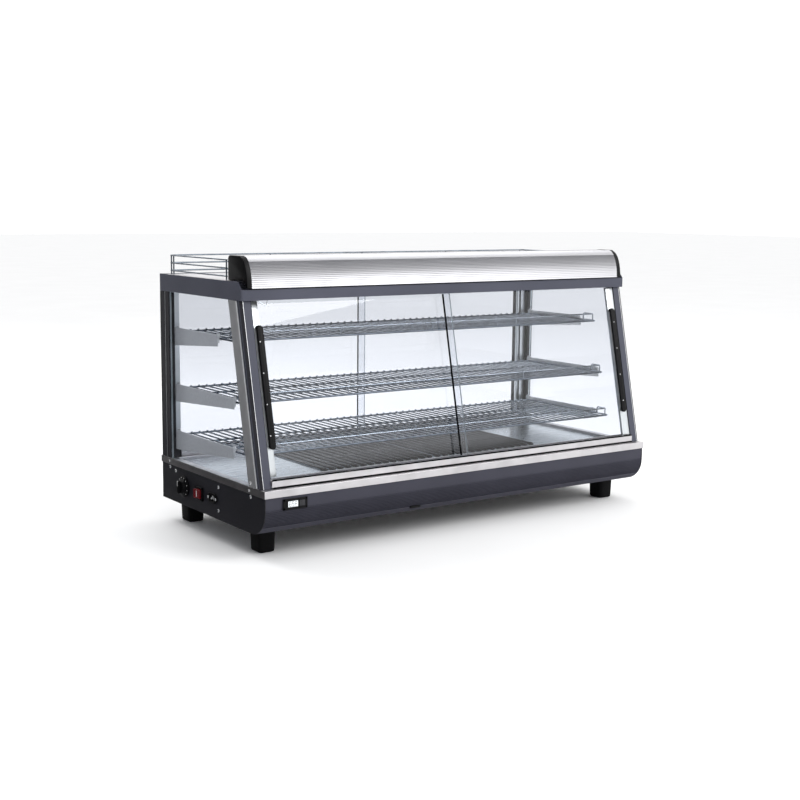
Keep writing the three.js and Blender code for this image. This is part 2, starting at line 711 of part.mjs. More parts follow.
// The outside of the canopy in (y, z): up the back, over the crown and down the curved face.
function hoodProfile(inset) {
  const { front, crown, bottom, rise, corner } = HOOD;
  const back = HOOD.back - inset;
  const top = HOOD_TOP - inset;
  const points = [
    [back, PANEL_TOP + GAP], [back, HOOD_TOP - corner], [back - 2.5, top - 2.5],
    [back - corner, top], [crown + inset / 2, top],
  ];
  const steps = 9;
  for (let step = steps - 1; step >= 0; step--) {
    const angle = (step / steps) * Math.PI / 2;
    points.push([
      front + inset + (crown - front) * (1 - Math.cos(angle)), bottom + rise * Math.sin(angle),
    ]);
  }
  return points;
}

function hoodCover() {
  const outline = [...hoodProfile(0), ...hoodProfile(HOOD.skin).reverse()];
  const reach = HOOD.halfWidth - HOOD.capWidth - GAP;
  return prismX(outline, -reach, reach);
}

function hoodEndCap() {
  const foot = [FRONT_RAIL.slopeEnd, PANEL_TOP + GAP + 2.5];
  const outline = [...hoodProfile(-HOOD.capProud), foot];
  return prismX(outline, HOOD.halfWidth - HOOD.capWidth, HOOD.halfWidth);
}

function lampBatten() {
  return block(-LAMP.halfWidth, LAMP.halfWidth, LAMP.front, LAMP.rear,
    PANEL_BOTTOM, PANEL_BOTTOM + LAMP.height);
}

// Three level wires between upright wires, as a flat ladder; sweep(outline, spare) gives an
// outline the thickness of a wire, plus some spare for a cutting tool.
function galleryLadder(start, end, bays, sweep) {
  const { top, wire, gap } = GALLERY;
  const foot = PANEL_TOP + GAP;
  const spacing = (end - start - wire) / bays;
  const windows = [];
  for (let bay = 0; bay < bays; bay++) {
    const left = start + bay * spacing + wire;
    const right = start + (bay + 1) * spacing;
    for (let row = 0; row < 3; row++) {
      const high = top - wire - row * (gap + wire);
      const low = row < 2 ? high - gap : foot - wire;
      windows.push(sweep(rectangle(left, right, low, high), wire));
    }
  }
  return cut(sweep(rectangle(start, end, foot, top), 0), ...windows);
}

// ---------------------------------------------------------------- assembly
function addBase() {
  add('base_front_panel', baseFrontPanel(), SLATE_PAINT);
  add('base_side_left', mirrored(baseSidePanel(controlHoles())), DARK_PAINT);
  add('base_side_right', baseSidePanel(), DARK_PAINT);
  add('base_rear_panel', baseRearPanel(), DARK_PAINT);
  add('base_bottom_plate', bottomPlate(), DARK_PAINT);
  for (const [name, side] of SIDES) {
    add(`foot_front_${name}`, foot(), BLACK_RUBBER, [side * FOOT.x, FOOT.frontY, 0]);
    add(`foot_rear_${name}`, foot(), BLACK_RUBBER, [side * FOOT.x, FOOT.rearY, 0]);
  }
}

function addControls() {
  const panel = -BASE_HALF_WIDTH;
  add('thermostat_knob', thermostatKnob(), BLACK_PLASTIC, [panel, KNOB.y, KNOB.z]);
  add('thermostat_body', thermostatBody(), GREY_STEEL, [panel, KNOB.y, KNOB.z]);
  add('power_switch_body', switchBody(), BLACK_PLASTIC, [panel, ROCKER.y, ROCKER.z]);
  add('power_switch_rocker', switchRocker(), RED_LENS, [panel, ROCKER.y, ROCKER.z]);
  add('power_inlet', powerInlet(), BLACK_PLASTIC, [panel, INLET.y, INLET.z]);
  add('thermometer', thermometer(), BLACK_PLASTIC, [THERMOMETER.x, -BASE_HALF_DEPTH, THERMOMETER.z]);
}

function addDeck() {
  add('deck_trim', deckTrim(), STAINLESS);
  add('floor_deck', floorDeck(), STAINLESS);
  add('heater_cover_left', mirrored(heaterCover()), DARK_ENAMEL);
  add('heater_cover_right', heaterCover(), DARK_ENAMEL);
  add('heating_element', heatingElement(), ELEMENT_STEEL);
  add('front_track', frontTrack(), STAINLESS);
  add('rear_track', rearTrack(), STAINLESS);
}

function addCabinet() {
  for (const [name, side] of SIDES) {
    add(`front_post_${name}`, sided(side, frontPost()), SLATE_PAINT);
    add(`front_post_strip_${name}`, sided(side, frontPostStrip()), GREY_STEEL);
    add(`rear_post_${name}`, sided(side, rearPost()), DARK_PAINT);
    add(`side_glass_${name}`, sided(side, sideGlass()), CLEAR_GLASS);
    add(`front_door_${name}`, frontDoor(side), CLEAR_GLASS);
    add(`front_handle_${name}`, frontHandle(side), BLACK_PLASTIC);
    add(`rear_door_${name}`, rearDoor(side), CLEAR_GLASS);
    add(`top_side_band_${name}`, sided(side, topSideBand()), SLATE_PAINT);
  }
  add('top_front_rail', topFrontRail(), SLATE_PAINT);
  add('top_rear_rail', topRearRail(), SLATE_PAINT);
}

function addRacks() {
  for (const rack of RACKS) {
    add(`rack_${rack.name}`, rackGrille(rack), CHROME_WIRE);
    add(`rack_guard_${rack.name}`, rackGuard(rack), CHROME_WIRE);
    for (const [name, side] of SIDES) {
      add(`bracket_arm_${rack.name}_${name}`, sided(side, bracketArm(rack)), GREY_STEEL);
    }
  }
}

function addCanopy() {
  add('top_panel', topPanel(), STAINLESS);
  add('hood_cover', hoodCover(), POLISHED_STEEL);
  add('lamp_batten', lampBatten(), LAMP_WHITE);
  const { x, rear, front, wire } = GALLERY;
  for (const [name, side] of SIDES) {
    add(`hood_end_cap_${name}`, sided(side, hoodEndCap()), BLACK_PLASTIC);
    const ladder = galleryLadder(front, rear, 1,
      (outline, spare) => prismX(outline, x - spare, x + wire + spare));
    add(`gallery_rail_${name}`, sided(side, ladder), CHROME_WIRE);
  }
  const across = galleryLadder(-x - wire, x + wire, 4,
    (outline, spare) => prismY(outline, rear + GAP - spare, rear + GAP + wire + spare));
  add('gallery_rail_rear', across, CHROME_WIRE);
}

addBase();
addControls();
addDeck();
addCabinet();
addRacks();
addCanopy();

export default displayCase;
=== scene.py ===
"""Looks of a hot food display case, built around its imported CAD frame.

Each group of pieces has an operator. The sizes below are in millimetres in the case's own frame:
X runs left to right as a customer sees it, Y runs from the customer to the staff, Z is up, and
the deck's trim is centred on X = 0. PLACE takes them to the row frame in metres.
"""
import math

import bmesh
import bpy
from mathutils import Matrix, Vector


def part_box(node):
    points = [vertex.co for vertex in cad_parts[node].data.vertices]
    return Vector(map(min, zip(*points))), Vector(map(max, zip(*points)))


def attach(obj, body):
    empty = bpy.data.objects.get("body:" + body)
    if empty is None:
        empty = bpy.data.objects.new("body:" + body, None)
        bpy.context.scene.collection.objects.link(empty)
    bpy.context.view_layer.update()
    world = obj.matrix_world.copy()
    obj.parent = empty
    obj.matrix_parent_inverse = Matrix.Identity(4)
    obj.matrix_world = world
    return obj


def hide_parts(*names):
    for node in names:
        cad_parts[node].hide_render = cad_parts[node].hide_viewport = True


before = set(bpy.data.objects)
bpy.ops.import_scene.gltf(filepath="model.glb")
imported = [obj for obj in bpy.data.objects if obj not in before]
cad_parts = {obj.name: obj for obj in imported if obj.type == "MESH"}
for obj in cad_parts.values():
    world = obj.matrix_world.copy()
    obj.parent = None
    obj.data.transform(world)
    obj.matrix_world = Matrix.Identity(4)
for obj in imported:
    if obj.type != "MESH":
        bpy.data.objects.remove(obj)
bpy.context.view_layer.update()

bl_info = {
    "name": "Hot food display case",
    "version": (1, 0, 0),
    "blender": (4, 5, 0),
    "location": "View3D > Sidebar > Display case",
    "description": "Builds the finished look of a heated display case around its CAD frame",
    "category": "Object",
}

SIDES = (("left", -1), ("right", 1))
TRIM_LOW, TRIM_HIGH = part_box("deck_trim")
PLACE = Matrix.Translation(((TRIM_LOW.x + TRIM_HIGH.x) / 2, 0, 0)) @ Matrix.Scale(0.001, 4)

# The front leans back through these two points of its outer face, given as (y, z).
LEAN_LOW = (-245.5, 180.0)
LEAN_HIGH = (-155.8, 590.0)
LEAN = (LEAN_HIGH[0] - LEAN_LOW[0]) / (LEAN_HIGH[1] - LEAN_LOW[1])
LEAN_START = LEAN_LOW[0] - LEAN * LEAN_LOW[1]
LEAN_BACK = Matrix(((1, 0, 0, 0), (0, 1, LEAN, LEAN_START), (0, 0, 1, 0), (0, 0, 0, 1)))

GAP = 0.3  # between pieces that touch
SIDE_PANEL = 598.0  # outer face of the base's side panels
FRONT_PANEL = -267.5
FRONT_PANEL_HALF, FRONT_PANEL_TOP = 595.7, 149.7
FOOT_TOP = 56.7
FOOT_X = 545
FOOT_ROWS = (("front", -161.5), ("rear", 205.0))
FOOT_SIZE = (46, 52)
BEND = 62.0  # radius with which the front panel rolls under
TRIM_TOP = 167.0
FLOOR_TOP = 160.0
RAIL_BOTTOM = 590.5
PANEL_TOP = 633.5
HOOD_TOP = 691.5
HOOD_BACK = -80.0
HOOD_HALF = 573.7
HOOD_LIP = (-171, 618.5)  # foot of the curved face, as (y, z)
HOOD_SWEEP = 35  # how far back the face curves
HOOD_CORNER = 8
POST_INNER, POST_FACE, POST_OUTER = 571.0, 592.0, 599.5
GLASS = 5.0
DOOR_PITCH = 19.5
DOOR_EDGES = {"front": 569.0, "rear": 577.0}
DOOR_SPAN = (188.5, 588.5)  # levels between which an edge profile shows
REAR_DOOR = 231.0
ARM_FACE = 582.8
RACK_HALF, RACK_REAR, RACK_PITCH = 578.0, 196.0, 22.0
# Level of the wires' tops, front edge, and how far the guard's end loop comes back over the rack.
RACKS = {"upper": (493.0, -92.0, 40.0), "middle": (350.0, -127.0, 36.0), "lower": (231.0, -154.0, 34.0)}
GUARD_HALF = 566.0
KNOB = (140.0, 106.0)
ROCKER = (56.0, 104.0)
INLET = (-12.0, 105.0)
DISPLAY = (-519.5, 131.0)


# ------------------------------------------------------------------ colours and node trees
def linear(code):
    """An sRGB hex colour as linear RGBA."""
    parts = [int(code[i:i + 2], 16) / 255 for i in (1, 3, 5)]
    return tuple(c / 12.92 if c <= 0.04045 else ((c + 0.055) / 1.055) ** 2.4 for c in parts) + (1.0,)


def add_node(tree, kind, inputs=None, **settings):
    """Adds a node. inputs holds a value or another node's output socket for each input."""
    made = tree.nodes.new(kind)
    for name, value in settings.items():
        setattr(made, name, value)
    for socket, value in (inputs or {}).items():
        if isinstance(value, bpy.types.NodeSocket):
            tree.links.new(value, made.inputs[socket])
        else:
            made.inputs[socket].default_value = value
    return made


def new_material(name):
    """A material whose node tree holds only its output."""
    made = bpy.data.materials.new(name)
    made.use_nodes = True
    made.node_tree.nodes.clear()
    return made, made.node_tree, add_node(made.node_tree, "ShaderNodeOutputMaterial")


def pattern(tree, size_mm, stretch=(1, 1, 1), detail=3.0):
    """Noise whose grains are about size_mm across, drawn out along an axis where stretch is small."""
    place = add_node(tree, "ShaderNodeTexCoord").outputs["Object"]
    turned = add_node(tree, "ShaderNodeMapping", {"Vector": place, "Scale": stretch}).outputs["Vector"]
    noise = add_node(tree, "ShaderNodeTexNoise", {
        "Vector": turned, "Scale": 1000.0 / size_mm, "Detail": detail, "Roughness": 0.55})
    return noise.outputs["Fac"]


def spread(tree, source, low, high):
    """Maps a pattern's middle range to the range from low to high."""
    return add_node(tree, "ShaderNodeMapRange", {
        "Value": source, "From Min": 0.3, "From Max": 0.7, "To Min": low, "To Max": high,
    }).outputs["Result"]


def two_tones(tree, source, dark, light, low=0.3, high=0.7):
    """A colour that goes from dark to light while its source goes from low to high."""
    ramp = add_node(tree, "ShaderNodeValToRGB", {"Fac": source})
    for stop, place, tone in zip(ramp.color_ramp.elements, (low, high), (dark, light)):
        stop.position, stop.color = place, linear(tone)
    return ramp.outputs["Color"]


def surface(name, dark, light, rough, grain_mm, bump_mm, stretch=(1, 1, 1), patch_mm=60.0, **sockets):
    """One Principled surface: two tones in patches, roughness from the grain, and bump from it."""
    made, tree, output = new_material(name)
    grain = pattern(tree, grain_mm, stretch)
    patches = pattern(tree, patch_mm, (1, 1, 1), 2.0)
    inputs = {
        "Base Color": two_tones(tree, patches, dark, light),
        "Roughness": spread(tree, grain, rough[0], rough[1]),
    }
    if bump_mm:
        inputs["Normal"] = add_node(tree, "ShaderNodeBump", {
            "Height": grain, "Strength": 0.35, "Distance": bump_mm / 1000}).outputs["Normal"]
    inputs.update({key.replace("_", " "): value for key, value in sockets.items()})
    shader = add_node(tree, "ShaderNodeBsdfPrincipled", inputs)
    tree.links.new(shader.outputs["BSDF"], output.inputs["Surface"])
    return made


def float_glass(name, tint):
    """Clear float glass: mirrors a Fresnel share where a ray enters, and passes the rest tinted."""
    made, tree, output = new_material(name)
    ripple = add_node(tree, "ShaderNodeBump", {
        "Height": pattern(tree, 180.0), "Strength": 0.05, "Distance": 0.0004}).outputs["Normal"]
    gloss = add_node(tree, "ShaderNodeBsdfAnisotropic", {"Roughness": 0.02, "Normal": ripple})
    clear = add_node(tree, "ShaderNodeBsdfTransparent", {"Color": linear(tint)})
    mirror = add_node(tree, "ShaderNodeFresnel", {"IOR": 1.6}).outputs["Fac"]
    inside = add_node(tree, "ShaderNodeNewGeometry").outputs["Backfacing"]
    outside = add_node(tree, "ShaderNodeMath", {0: 1.0, 1: inside}, operation="SUBTRACT")
    share = add_node(tree, "ShaderNodeMath", {0: mirror, 1: outside.outputs["Value"]}, operation="MULTIPLY")
    mixed = add_node(tree, "ShaderNodeMixShader", {
        0: share.outputs["Value"], 1: clear.outputs["BSDF"], 2: gloss.outputs["BSDF"]})
    tree.links.new(mixed.outputs["Shader"], output.inputs["Surface"])
    return made


def make_materials():
    """Every finish on the case, keyed by the plain name that the pieces use."""
    look = bpy.context.scene.case_finish
    return {
        # Polyester powder baked on sheet: a soft broad gloss over a faint orange peel.
        "paint": surface("powder_coated_steel_slate", look.paint_dark, look.paint_light, (0.44, 0.54),
                         2.4, 0.01, patch_mm=220.0, Specular_IOR_Level=0.3),
        # The same powder on the base's front, less glossy, in a darker and browner tone that is painted shade
        # beside the lighter rails and posts.
        "panel_paint": surface("powder_coated_steel_front_shaded", "#3b3b44", "#42424c", (0.48, 0.58), 2.4, 0.01,
                               patch_mm=220.0, Specular_IOR_Level=0.12),
        # The same powder in a darker tone, on the base's sides and back, the rear posts and the front posts'
        # chamfers: its darkness is painted shade for faces in shade, and on the rear posts partly their
        # darker paint.
        "dark_paint": surface("powder_coated_steel_graphite_shaded", "#1b1b21", "#212128", (0.44, 0.54), 2.4, 0.01,
                              patch_mm=220.0, Specular_IOR_Level=0.3),
        # Belt-brushed stainless: fine streaks along X blur what it mirrors. Real grit is about 0.1 mm.
        "brushed": surface("brushed_stainless_along_x", "#b9b7b9", "#c9c7c9", (0.3, 0.42), 1.1, 0.03,
                           stretch=(0.01, 1, 1), Metallic=1.0),
        # The same sheet with the streaks running up, on strips and parts that stand upright.
        "brushed_up": surface("brushed_stainless_upright", "#b4b5b8", "#c4c5c8", (0.3, 0.46), 1.1, 0.03,
                              stretch=(1, 1, 0.01), Metallic=0.75),
        # Bright-rolled deck sheet with shallow waves from its making.
        "deck": surface("cold_rolled_stainless", "#c6ced3", "#d2d9de", (0.24, 0.3), 1.4, 0.006,
                        stretch=(0.02, 1, 1), patch_mm=260.0, Metallic=1.0),
        # Satin-polished stainless: grey of its own, under soft broad reflections that run to white.
        "polished": surface("polished_stainless", "#a2a2a5", "#a9a9ac", (0.38, 0.44), 160.0, 0.0,
                            stretch=(0.5, 1, 1), patch_mm=300.0, Metallic=1.0),
        # Bright chrome plate on drawn wire: sharp glints, a little grey where it has dulled.
        "chrome": surface("chrome_plated_wire", "#959da5", "#bcc2c8", (0.16, 0.3), 3.0, 0.02, patch_mm=25.0,
                          Metallic=1.0),
        # The same plate where it is thin and dull, on the heavier wires; on the heater covers' plate, its
        # grey between the black ribs is a painted highlight.
        "dull_chrome": surface("dull_chrome_plated_wire", "#5b626b", "#757d86", (0.26, 0.4), 3.0, 0.02,
                               patch_mm=25.0, Metallic=1.0),
        # Satin anodised aluminium extrusion: pale and even.
        "aluminium": surface("anodised_aluminium", "#c6cbce", "#d3d7da", (0.3, 0.4), 0.9, 0.015,
                             stretch=(1, 1, 0.02), Metallic=0.9),
        # Vitreous enamel over pressed steel: glassy black, which mirrors the racks over it.
        "enamel": surface("black_enamelled_steel", "#0e0e12", "#141419", (0.16, 0.22), 5.0, 0.0,
                          patch_mm=120.0, Specular_IOR_Level=0.22),
        # Oxidised tube of the heating element.
        "element": surface("oxidised_heater_tube", "#4a443f", "#6f6861", (0.45, 0.6), 2.0, 0.05,
                           Metallic=0.8),
        # Spark-textured ABS moulding: a dull sheen over fine pits.
        "plastic": surface("moulded_black_abs", "#070709", "#0d0d10", (0.36, 0.48), 1.0, 0.02,
                           Specular_IOR_Level=0.14),
        # Vulcanised rubber: matt, a little dusty.
        "rubber": surface("black_rubber", "#060607", "#0b0b0d", (0.6, 0.78), 1.6, 0.04,
                          Specular_IOR_Level=0.1),
        # Translucent red polycarbonate over a lit neon lamp.
        "lens": surface("red_polycarbonate_lens", "#530b12", "#6c1019", (0.24, 0.34), 2.0, 0.01,
                        Emission_Color=linear("#a0161e"), Emission_Strength=0.03),
        # Zinc-plated screw heads and rivets.
        "zinc": surface("zinc_plated_steel", "#dfe1e3", "#f2f3f4", (0.3, 0.42), 0.8, 0.01, patch_mm=6.0,
                        Metallic=0.5),
        # Opal acrylic cover over the lamp.
        "opal": surface("opal_acrylic", "#ece9e0", "#f6f4ee", (0.4, 0.5), 1.5, 0.02,
                        Emission_Color=linear("#fff2d8"), Emission_Strength=0.3),
        # Face of the liquid crystal display: white, with a faint glow painted in for the light it catches.
        "display": surface("display_film_with_painted_glow", "#e6ebee", "#f8fafb", (0.2, 0.26), 4.0, 0.0,
                           Emission_Color=linear("#f4f8fb"), Emission_Strength=0.35),
        "keypad": surface("grey_membrane_keypad", "#232327", "#2d2d32", (0.5, 0.6), 0.9, 0.02),
        # White pad-printed ink.
        "ink": surface("white_printed_ink", "#d8d8d8", "#ececec", (0.5, 0.6), 0.8, 0.0),
        # Ground and polished edge of a pane, where the light gathers to a pale line.
        "glass_edge": surface("ground_glass_edge", "#a3b3ba", "#c3d0d5", (0.25, 0.4), 1.5, 0.03,
                              Transmission_Weight=0.5),
        "glass": float_glass("clear_float_glass", "#f7f8fa"),
    }


MATERIALS = {}


# ------------------------------------------------------------------ building with bmesh
def finish_piece(bm, name, looks, body, stands_for=(), smooth=38.0, lean=False, in_metres=False):
    """Turns a bmesh in millimetres into a piece that rides on a body, with its place in its mesh."""
    if lean:
        bmesh.ops.transform(bm, matrix=LEAN_BACK, verts=bm.verts)
    if not in_metres:
        bmesh.ops.transform(bm, matrix=PLACE, verts=bm.verts)
    bmesh.ops.recalc_face_normals(bm, faces=bm.faces)
    for face in bm.faces:
        face.smooth = True
    mesh = bpy.data.meshes.new(name)
    bm.to_mesh(mesh)
    bm.free()
    if not mesh.polygons:
        raise RuntimeError(f"{name} came out empty")
    mesh.set_sharp_from_angle(angle=math.radians(smooth))
    looks = (looks,) if isinstance(looks, str) else looks
    for look in looks:
        mesh.materials.append(MATERIALS[look])
    piece = bpy.data.objects.new(name, mesh)
    bpy.context.scene.collection.objects.link(piece)
    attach(piece, body)
    if stands_for:
        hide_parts(*stands_for)
    return piece


def dress(node, look, edge=0.5, segments=2):
    """Gives a CAD node its finish, and rounds its sheet edges so that they catch the light."""
    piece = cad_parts[node]
    piece.data.materials.clear()
    piece.data.materials.append(MATERIALS[look])
    if edge:
        weld = piece.modifiers.new("weld", "WELD")
        weld.merge_threshold = 0.00001
        bevel = piece.modifiers.new("edges", "BEVEL")
        bevel.limit_method, bevel.angle_limit = "ANGLE", math.radians(25)
        bevel.width, bevel.segments = edge / 1000, segments


def corners_of(made):
    return [item for item in made if isinstance(item, bmesh.types.BMVert)]


def edges_of(made):
    return [item for item in made if isinstance(item, bmesh.types.BMEdge)]


def faces_of(made):
    return [item for item in made if isinstance(item, bmesh.types.BMFace)]


def give_look(verts, look):
    """Gives the faces round some corners a material, and returns those faces."""
    faces = {face for vert in verts for face in vert.link_faces}
    for face in faces:
        face.material_index = look
    return faces


def bevel(bm, edges, width, segments, clamp=True):
    return bmesh.ops.bevel(bm, geom=edges, offset=width, affect="EDGES", segments=segments, profile=0.5,
                           material=-1, clamp_overlap=clamp)


def mirror(bm, side):
    """Turns a shape made for the right side over, for the left side."""
    if side < 0:
        bmesh.ops.scale(bm, vec=(-1, 1, 1), verts=bm.verts)


def arc(middle, radius, start, end, steps):
    """Points along a circle's arc, both ends included, between two angles in radians."""
    angles = (start + (end - start) * step / steps for step in range(steps + 1))
    return [(middle[0] + radius * math.cos(a), middle[1] + radius * math.sin(a)) for a in angles]


def box(bm, x, y, z, edge=0.0, segments=2, look=0):
    """A block between the given pairs, with its edges rounded."""
    size = (x[1] - x[0], y[1] - y[0], z[1] - z[0])
    middle = Vector(((x[0] + x[1]) / 2, (y[0] + y[1]) / 2, (z[0] + z[1]) / 2))
    matrix = Matrix.Translation(middle) @ Matrix.Diagonal((*size, 1))
    verts = bmesh.ops.create_cube(bm, size=1.0, matrix=matrix)["verts"]
    faces = {face for vert in verts for face in vert.link_faces}
    if edge:
        edges = list({line for vert in verts for line in vert.link_edges})
        made = bevel(bm, edges, edge, segments)
        faces = {face for vert in made["verts"] for face in vert.link_faces} | set(made["faces"])
    for face in faces:
        if face.is_valid:
            face.material_index = look
    return [face for face in faces if face.is_valid]


def tube(bm, points, radius, sides=8, look=0):
    """A round wire along a path, with closed ends."""
    path = [Vector(point) for point in points]
    last = len(path) - 1
    ways = [(path[min(i + 1, last)] - path[max(i - 1, 0)]).normalized() for i in range(last + 1)]
    start = Matrix.Translation(path[0]) @ ways[0].to_track_quat("Z", "Y").to_matrix().to_4x4()
    ring = bmesh.ops.create_circle(bm, cap_ends=False, radius=radius, segments=sides, matrix=start)["verts"]
    rim = list({edge for vert in ring for edge in vert.link_edges})
    ends, faces = [rim], []
    for step in range(1, last + 1):
        made = bmesh.ops.extrude_edge_only(bm, edges=rim)["geom"]
        verts = corners_of(made)
        moved = set(verts)
        rim = [edge for edge in edges_of(made) if edge.verts[0] in moved and edge.verts[1] in moved]
        faces += faces_of(made)
        turn = ways[step - 1].rotation_difference(ways[step]).to_matrix()
        bmesh.ops.rotate(bm, cent=path[step - 1], matrix=turn, verts=verts)
        bmesh.ops.translate(bm, vec=path[step] - path[step - 1], verts=verts)
    ends.append(rim)
    for end in ends:
        faces += bmesh.ops.contextual_create(bm, geom=end)["faces"]
    for face in faces:
        face.material_index = look
    return faces


def rounded(points, radius, steps=5):
    """A polyline whose inner corners are turned with a radius."""
    path = [Vector(point) for point in points]
    out = [path[0]]
    for before, corner, after in zip(path, path[1:], path[2:]):
        back, on = (before - corner).normalized(), (after - corner).normalized()
        half = back.angle(on) / 2
        reach = radius / math.tan(half)
        centre = corner + (back + on).normalized() * (radius / math.sin(half))
        first, final = corner + back * reach - centre, corner + on * reach - centre
        turn = first.rotation_difference(final)
        for step in range(steps + 1):
            part = Matrix.Rotation(turn.angle * step / steps, 3, turn.axis)
            out.append(centre + part @ first)
    out.append(path[-1])
    return out


def prism(bm, outline, axis, start, end, edge=0.0, segments=2, look=0):
    """A closed outline swept along an axis: 'x' takes (y, z), 'y' takes (x, z) and 'z' takes (x, y)."""
    at = "xyz".index(axis)
    way = Vector((0, 0, 0))
    way[at] = 1
    verts = [bm.verts.new((*point[:at], start, *point[at:])) for point in outline]
    base = bmesh.ops.contextual_create(bm, geom=verts)["faces"]
    made = bmesh.ops.extrude_face_region(bm, geom=base, use_keep_orig=True)["geom"]
    bmesh.ops.translate(bm, vec=way * (end - start), verts=corners_of(made))
    faces = {face for vert in verts + corners_of(made) for face in vert.link_faces}
    if edge:
        caps = set(base) | {face for face in faces_of(made) if len(face.verts) == len(outline)}
        lines = list({line for cap in caps for line in cap.edges})
        made = bevel(bm, lines, edge, segments)
        faces = {face for face in faces if face.is_valid} | set(made["faces"])
    for face in faces:
        face.material_index = look
    return list(faces)


def turned(bm, profile, matrix, steps=32, look=0):
    """A profile of (radius, height) spun about Z, then placed by a matrix."""
    verts = [bm.verts.new((radius, 0, height)) for radius, height in profile]
    lines = [bm.edges.new(pair) for pair in zip(verts, verts[1:])]
    bmesh.ops.spin(bm, geom=verts + lines, cent=(0, 0, 0), axis=(0, 0, 1), dvec=(0, 0, 0),
                   angle=math.tau, steps=steps, use_merge=True, use_normal_flip=False, use_duplicate=False)
    near = {vert for line in lines if line.is_valid for vert in line.verts}
    island = set(near)
    while near:
        near = {other for vert in near for line in vert.link_edges for other in line.verts} - island
        island |= near
    bmesh.ops.remove_doubles(bm, verts=list(island), dist=0.001)
    island = [vert for vert in island if vert.is_valid]
    bmesh.ops.transform(bm, matrix=matrix, verts=island)
    give_look(island, look)


def copy_of(node):
    """A merged copy of a CAD node's mesh, in metres, with its flat faces made whole."""
    bm = bmesh.new()
    bm.from_mesh(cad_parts[node].data)
    bmesh.ops.remove_doubles(bm, verts=bm.verts, dist=0.00001)
    bmesh.ops.dissolve_limit(bm, angle_limit=math.radians(1), verts=bm.verts, edges=bm.edges)
    return bm


def round_edges(bm, width_mm, segments=3, sharper_than=25.0):
    """Bevels the sharp edges of a copy that is in metres."""
    limit = math.radians(sharper_than)
    sharp = [edge for edge in bm.edges if len(edge.link_faces) == 2 and edge.calc_face_angle() > limit]
    bevel(bm, sharp, width_mm / 1000, segments)


def facing(point, direction):
    """A matrix that puts local Z along a direction at a point."""
    turn = Vector(direction).to_track_quat("Z", "Y").to_matrix().to_4x4()
    return Matrix.Translation(Vector(point)) @ turn


def screw(bm, point, direction, radius=3.4, recess=2):
    """A pan-head screw with a cross recess; the recess takes the second material."""
    place = facing(point, direction)
    dome = [(0, 1.9), (0.45 * radius, 1.8), (0.8 * radius, 1.3), (radius, 0.5), (radius, -0.4), (0, -0.4)]
    turned(bm, dome, place, 16)
    for turn in range(recess):
        slot = place @ Matrix.Rotation(math.pi / 4 + turn * math.pi / 2, 4, "Z")
        size = Matrix.Diagonal((1.3 * radius, 0.28 * radius, 0.5, 1))
        matrix = slot @ Matrix.Translation((0, 0, 1.85)) @ size
        give_look(bmesh.ops.create_cube(bm, size=1.0, matrix=matrix)["verts"], 1)


# ------------------------------------------------------------------ settings
class CaseFinish(bpy.types.PropertyGroup):
    """Colours that a user may change."""
    paint_dark: bpy.props.StringProperty(
        name="Paint, dark tone", description="sRGB hex of the powder coat's darker tone", default="#3f414d")
    paint_light: bpy.props.StringProperty(
        name="Paint, light tone", description="sRGB hex of the powder coat's lighter tone", default="#494b58")


class CaseSizes(bpy.types.PropertyGroup):
    """Sizes of the fine parts, in metres."""
    rim_wire: bpy.props.FloatProperty(
        name="Rack rim wire", description="Diameter of the wire round a rack", default=0.005,
        min=0.003, max=0.008, unit="LENGTH")
    cross_wire: bpy.props.FloatProperty(
        name="Rack cross wire", description="Diameter of the wires from front to back", default=0.004,
        min=0.002, max=0.005, unit="LENGTH")
    guard_rise: bpy.props.FloatProperty(
        name="Guard height", description="Height of the guard wire over the rack", default=0.020,
        min=0.01, max=0.03, unit="LENGTH")
    rib_rise: bpy.props.FloatProperty(
        name="Rib height", description="How far the heater cover's ribs stand up", default=0.0042,
        min=0.002, max=0.005, unit="LENGTH")
    sheet_edge: bpy.props.FloatProperty(
        name="Sheet edge radius", description="Radius along folded and cut sheet edges", default=0.0005,
        min=0.0001, max=0.001, unit="LENGTH")


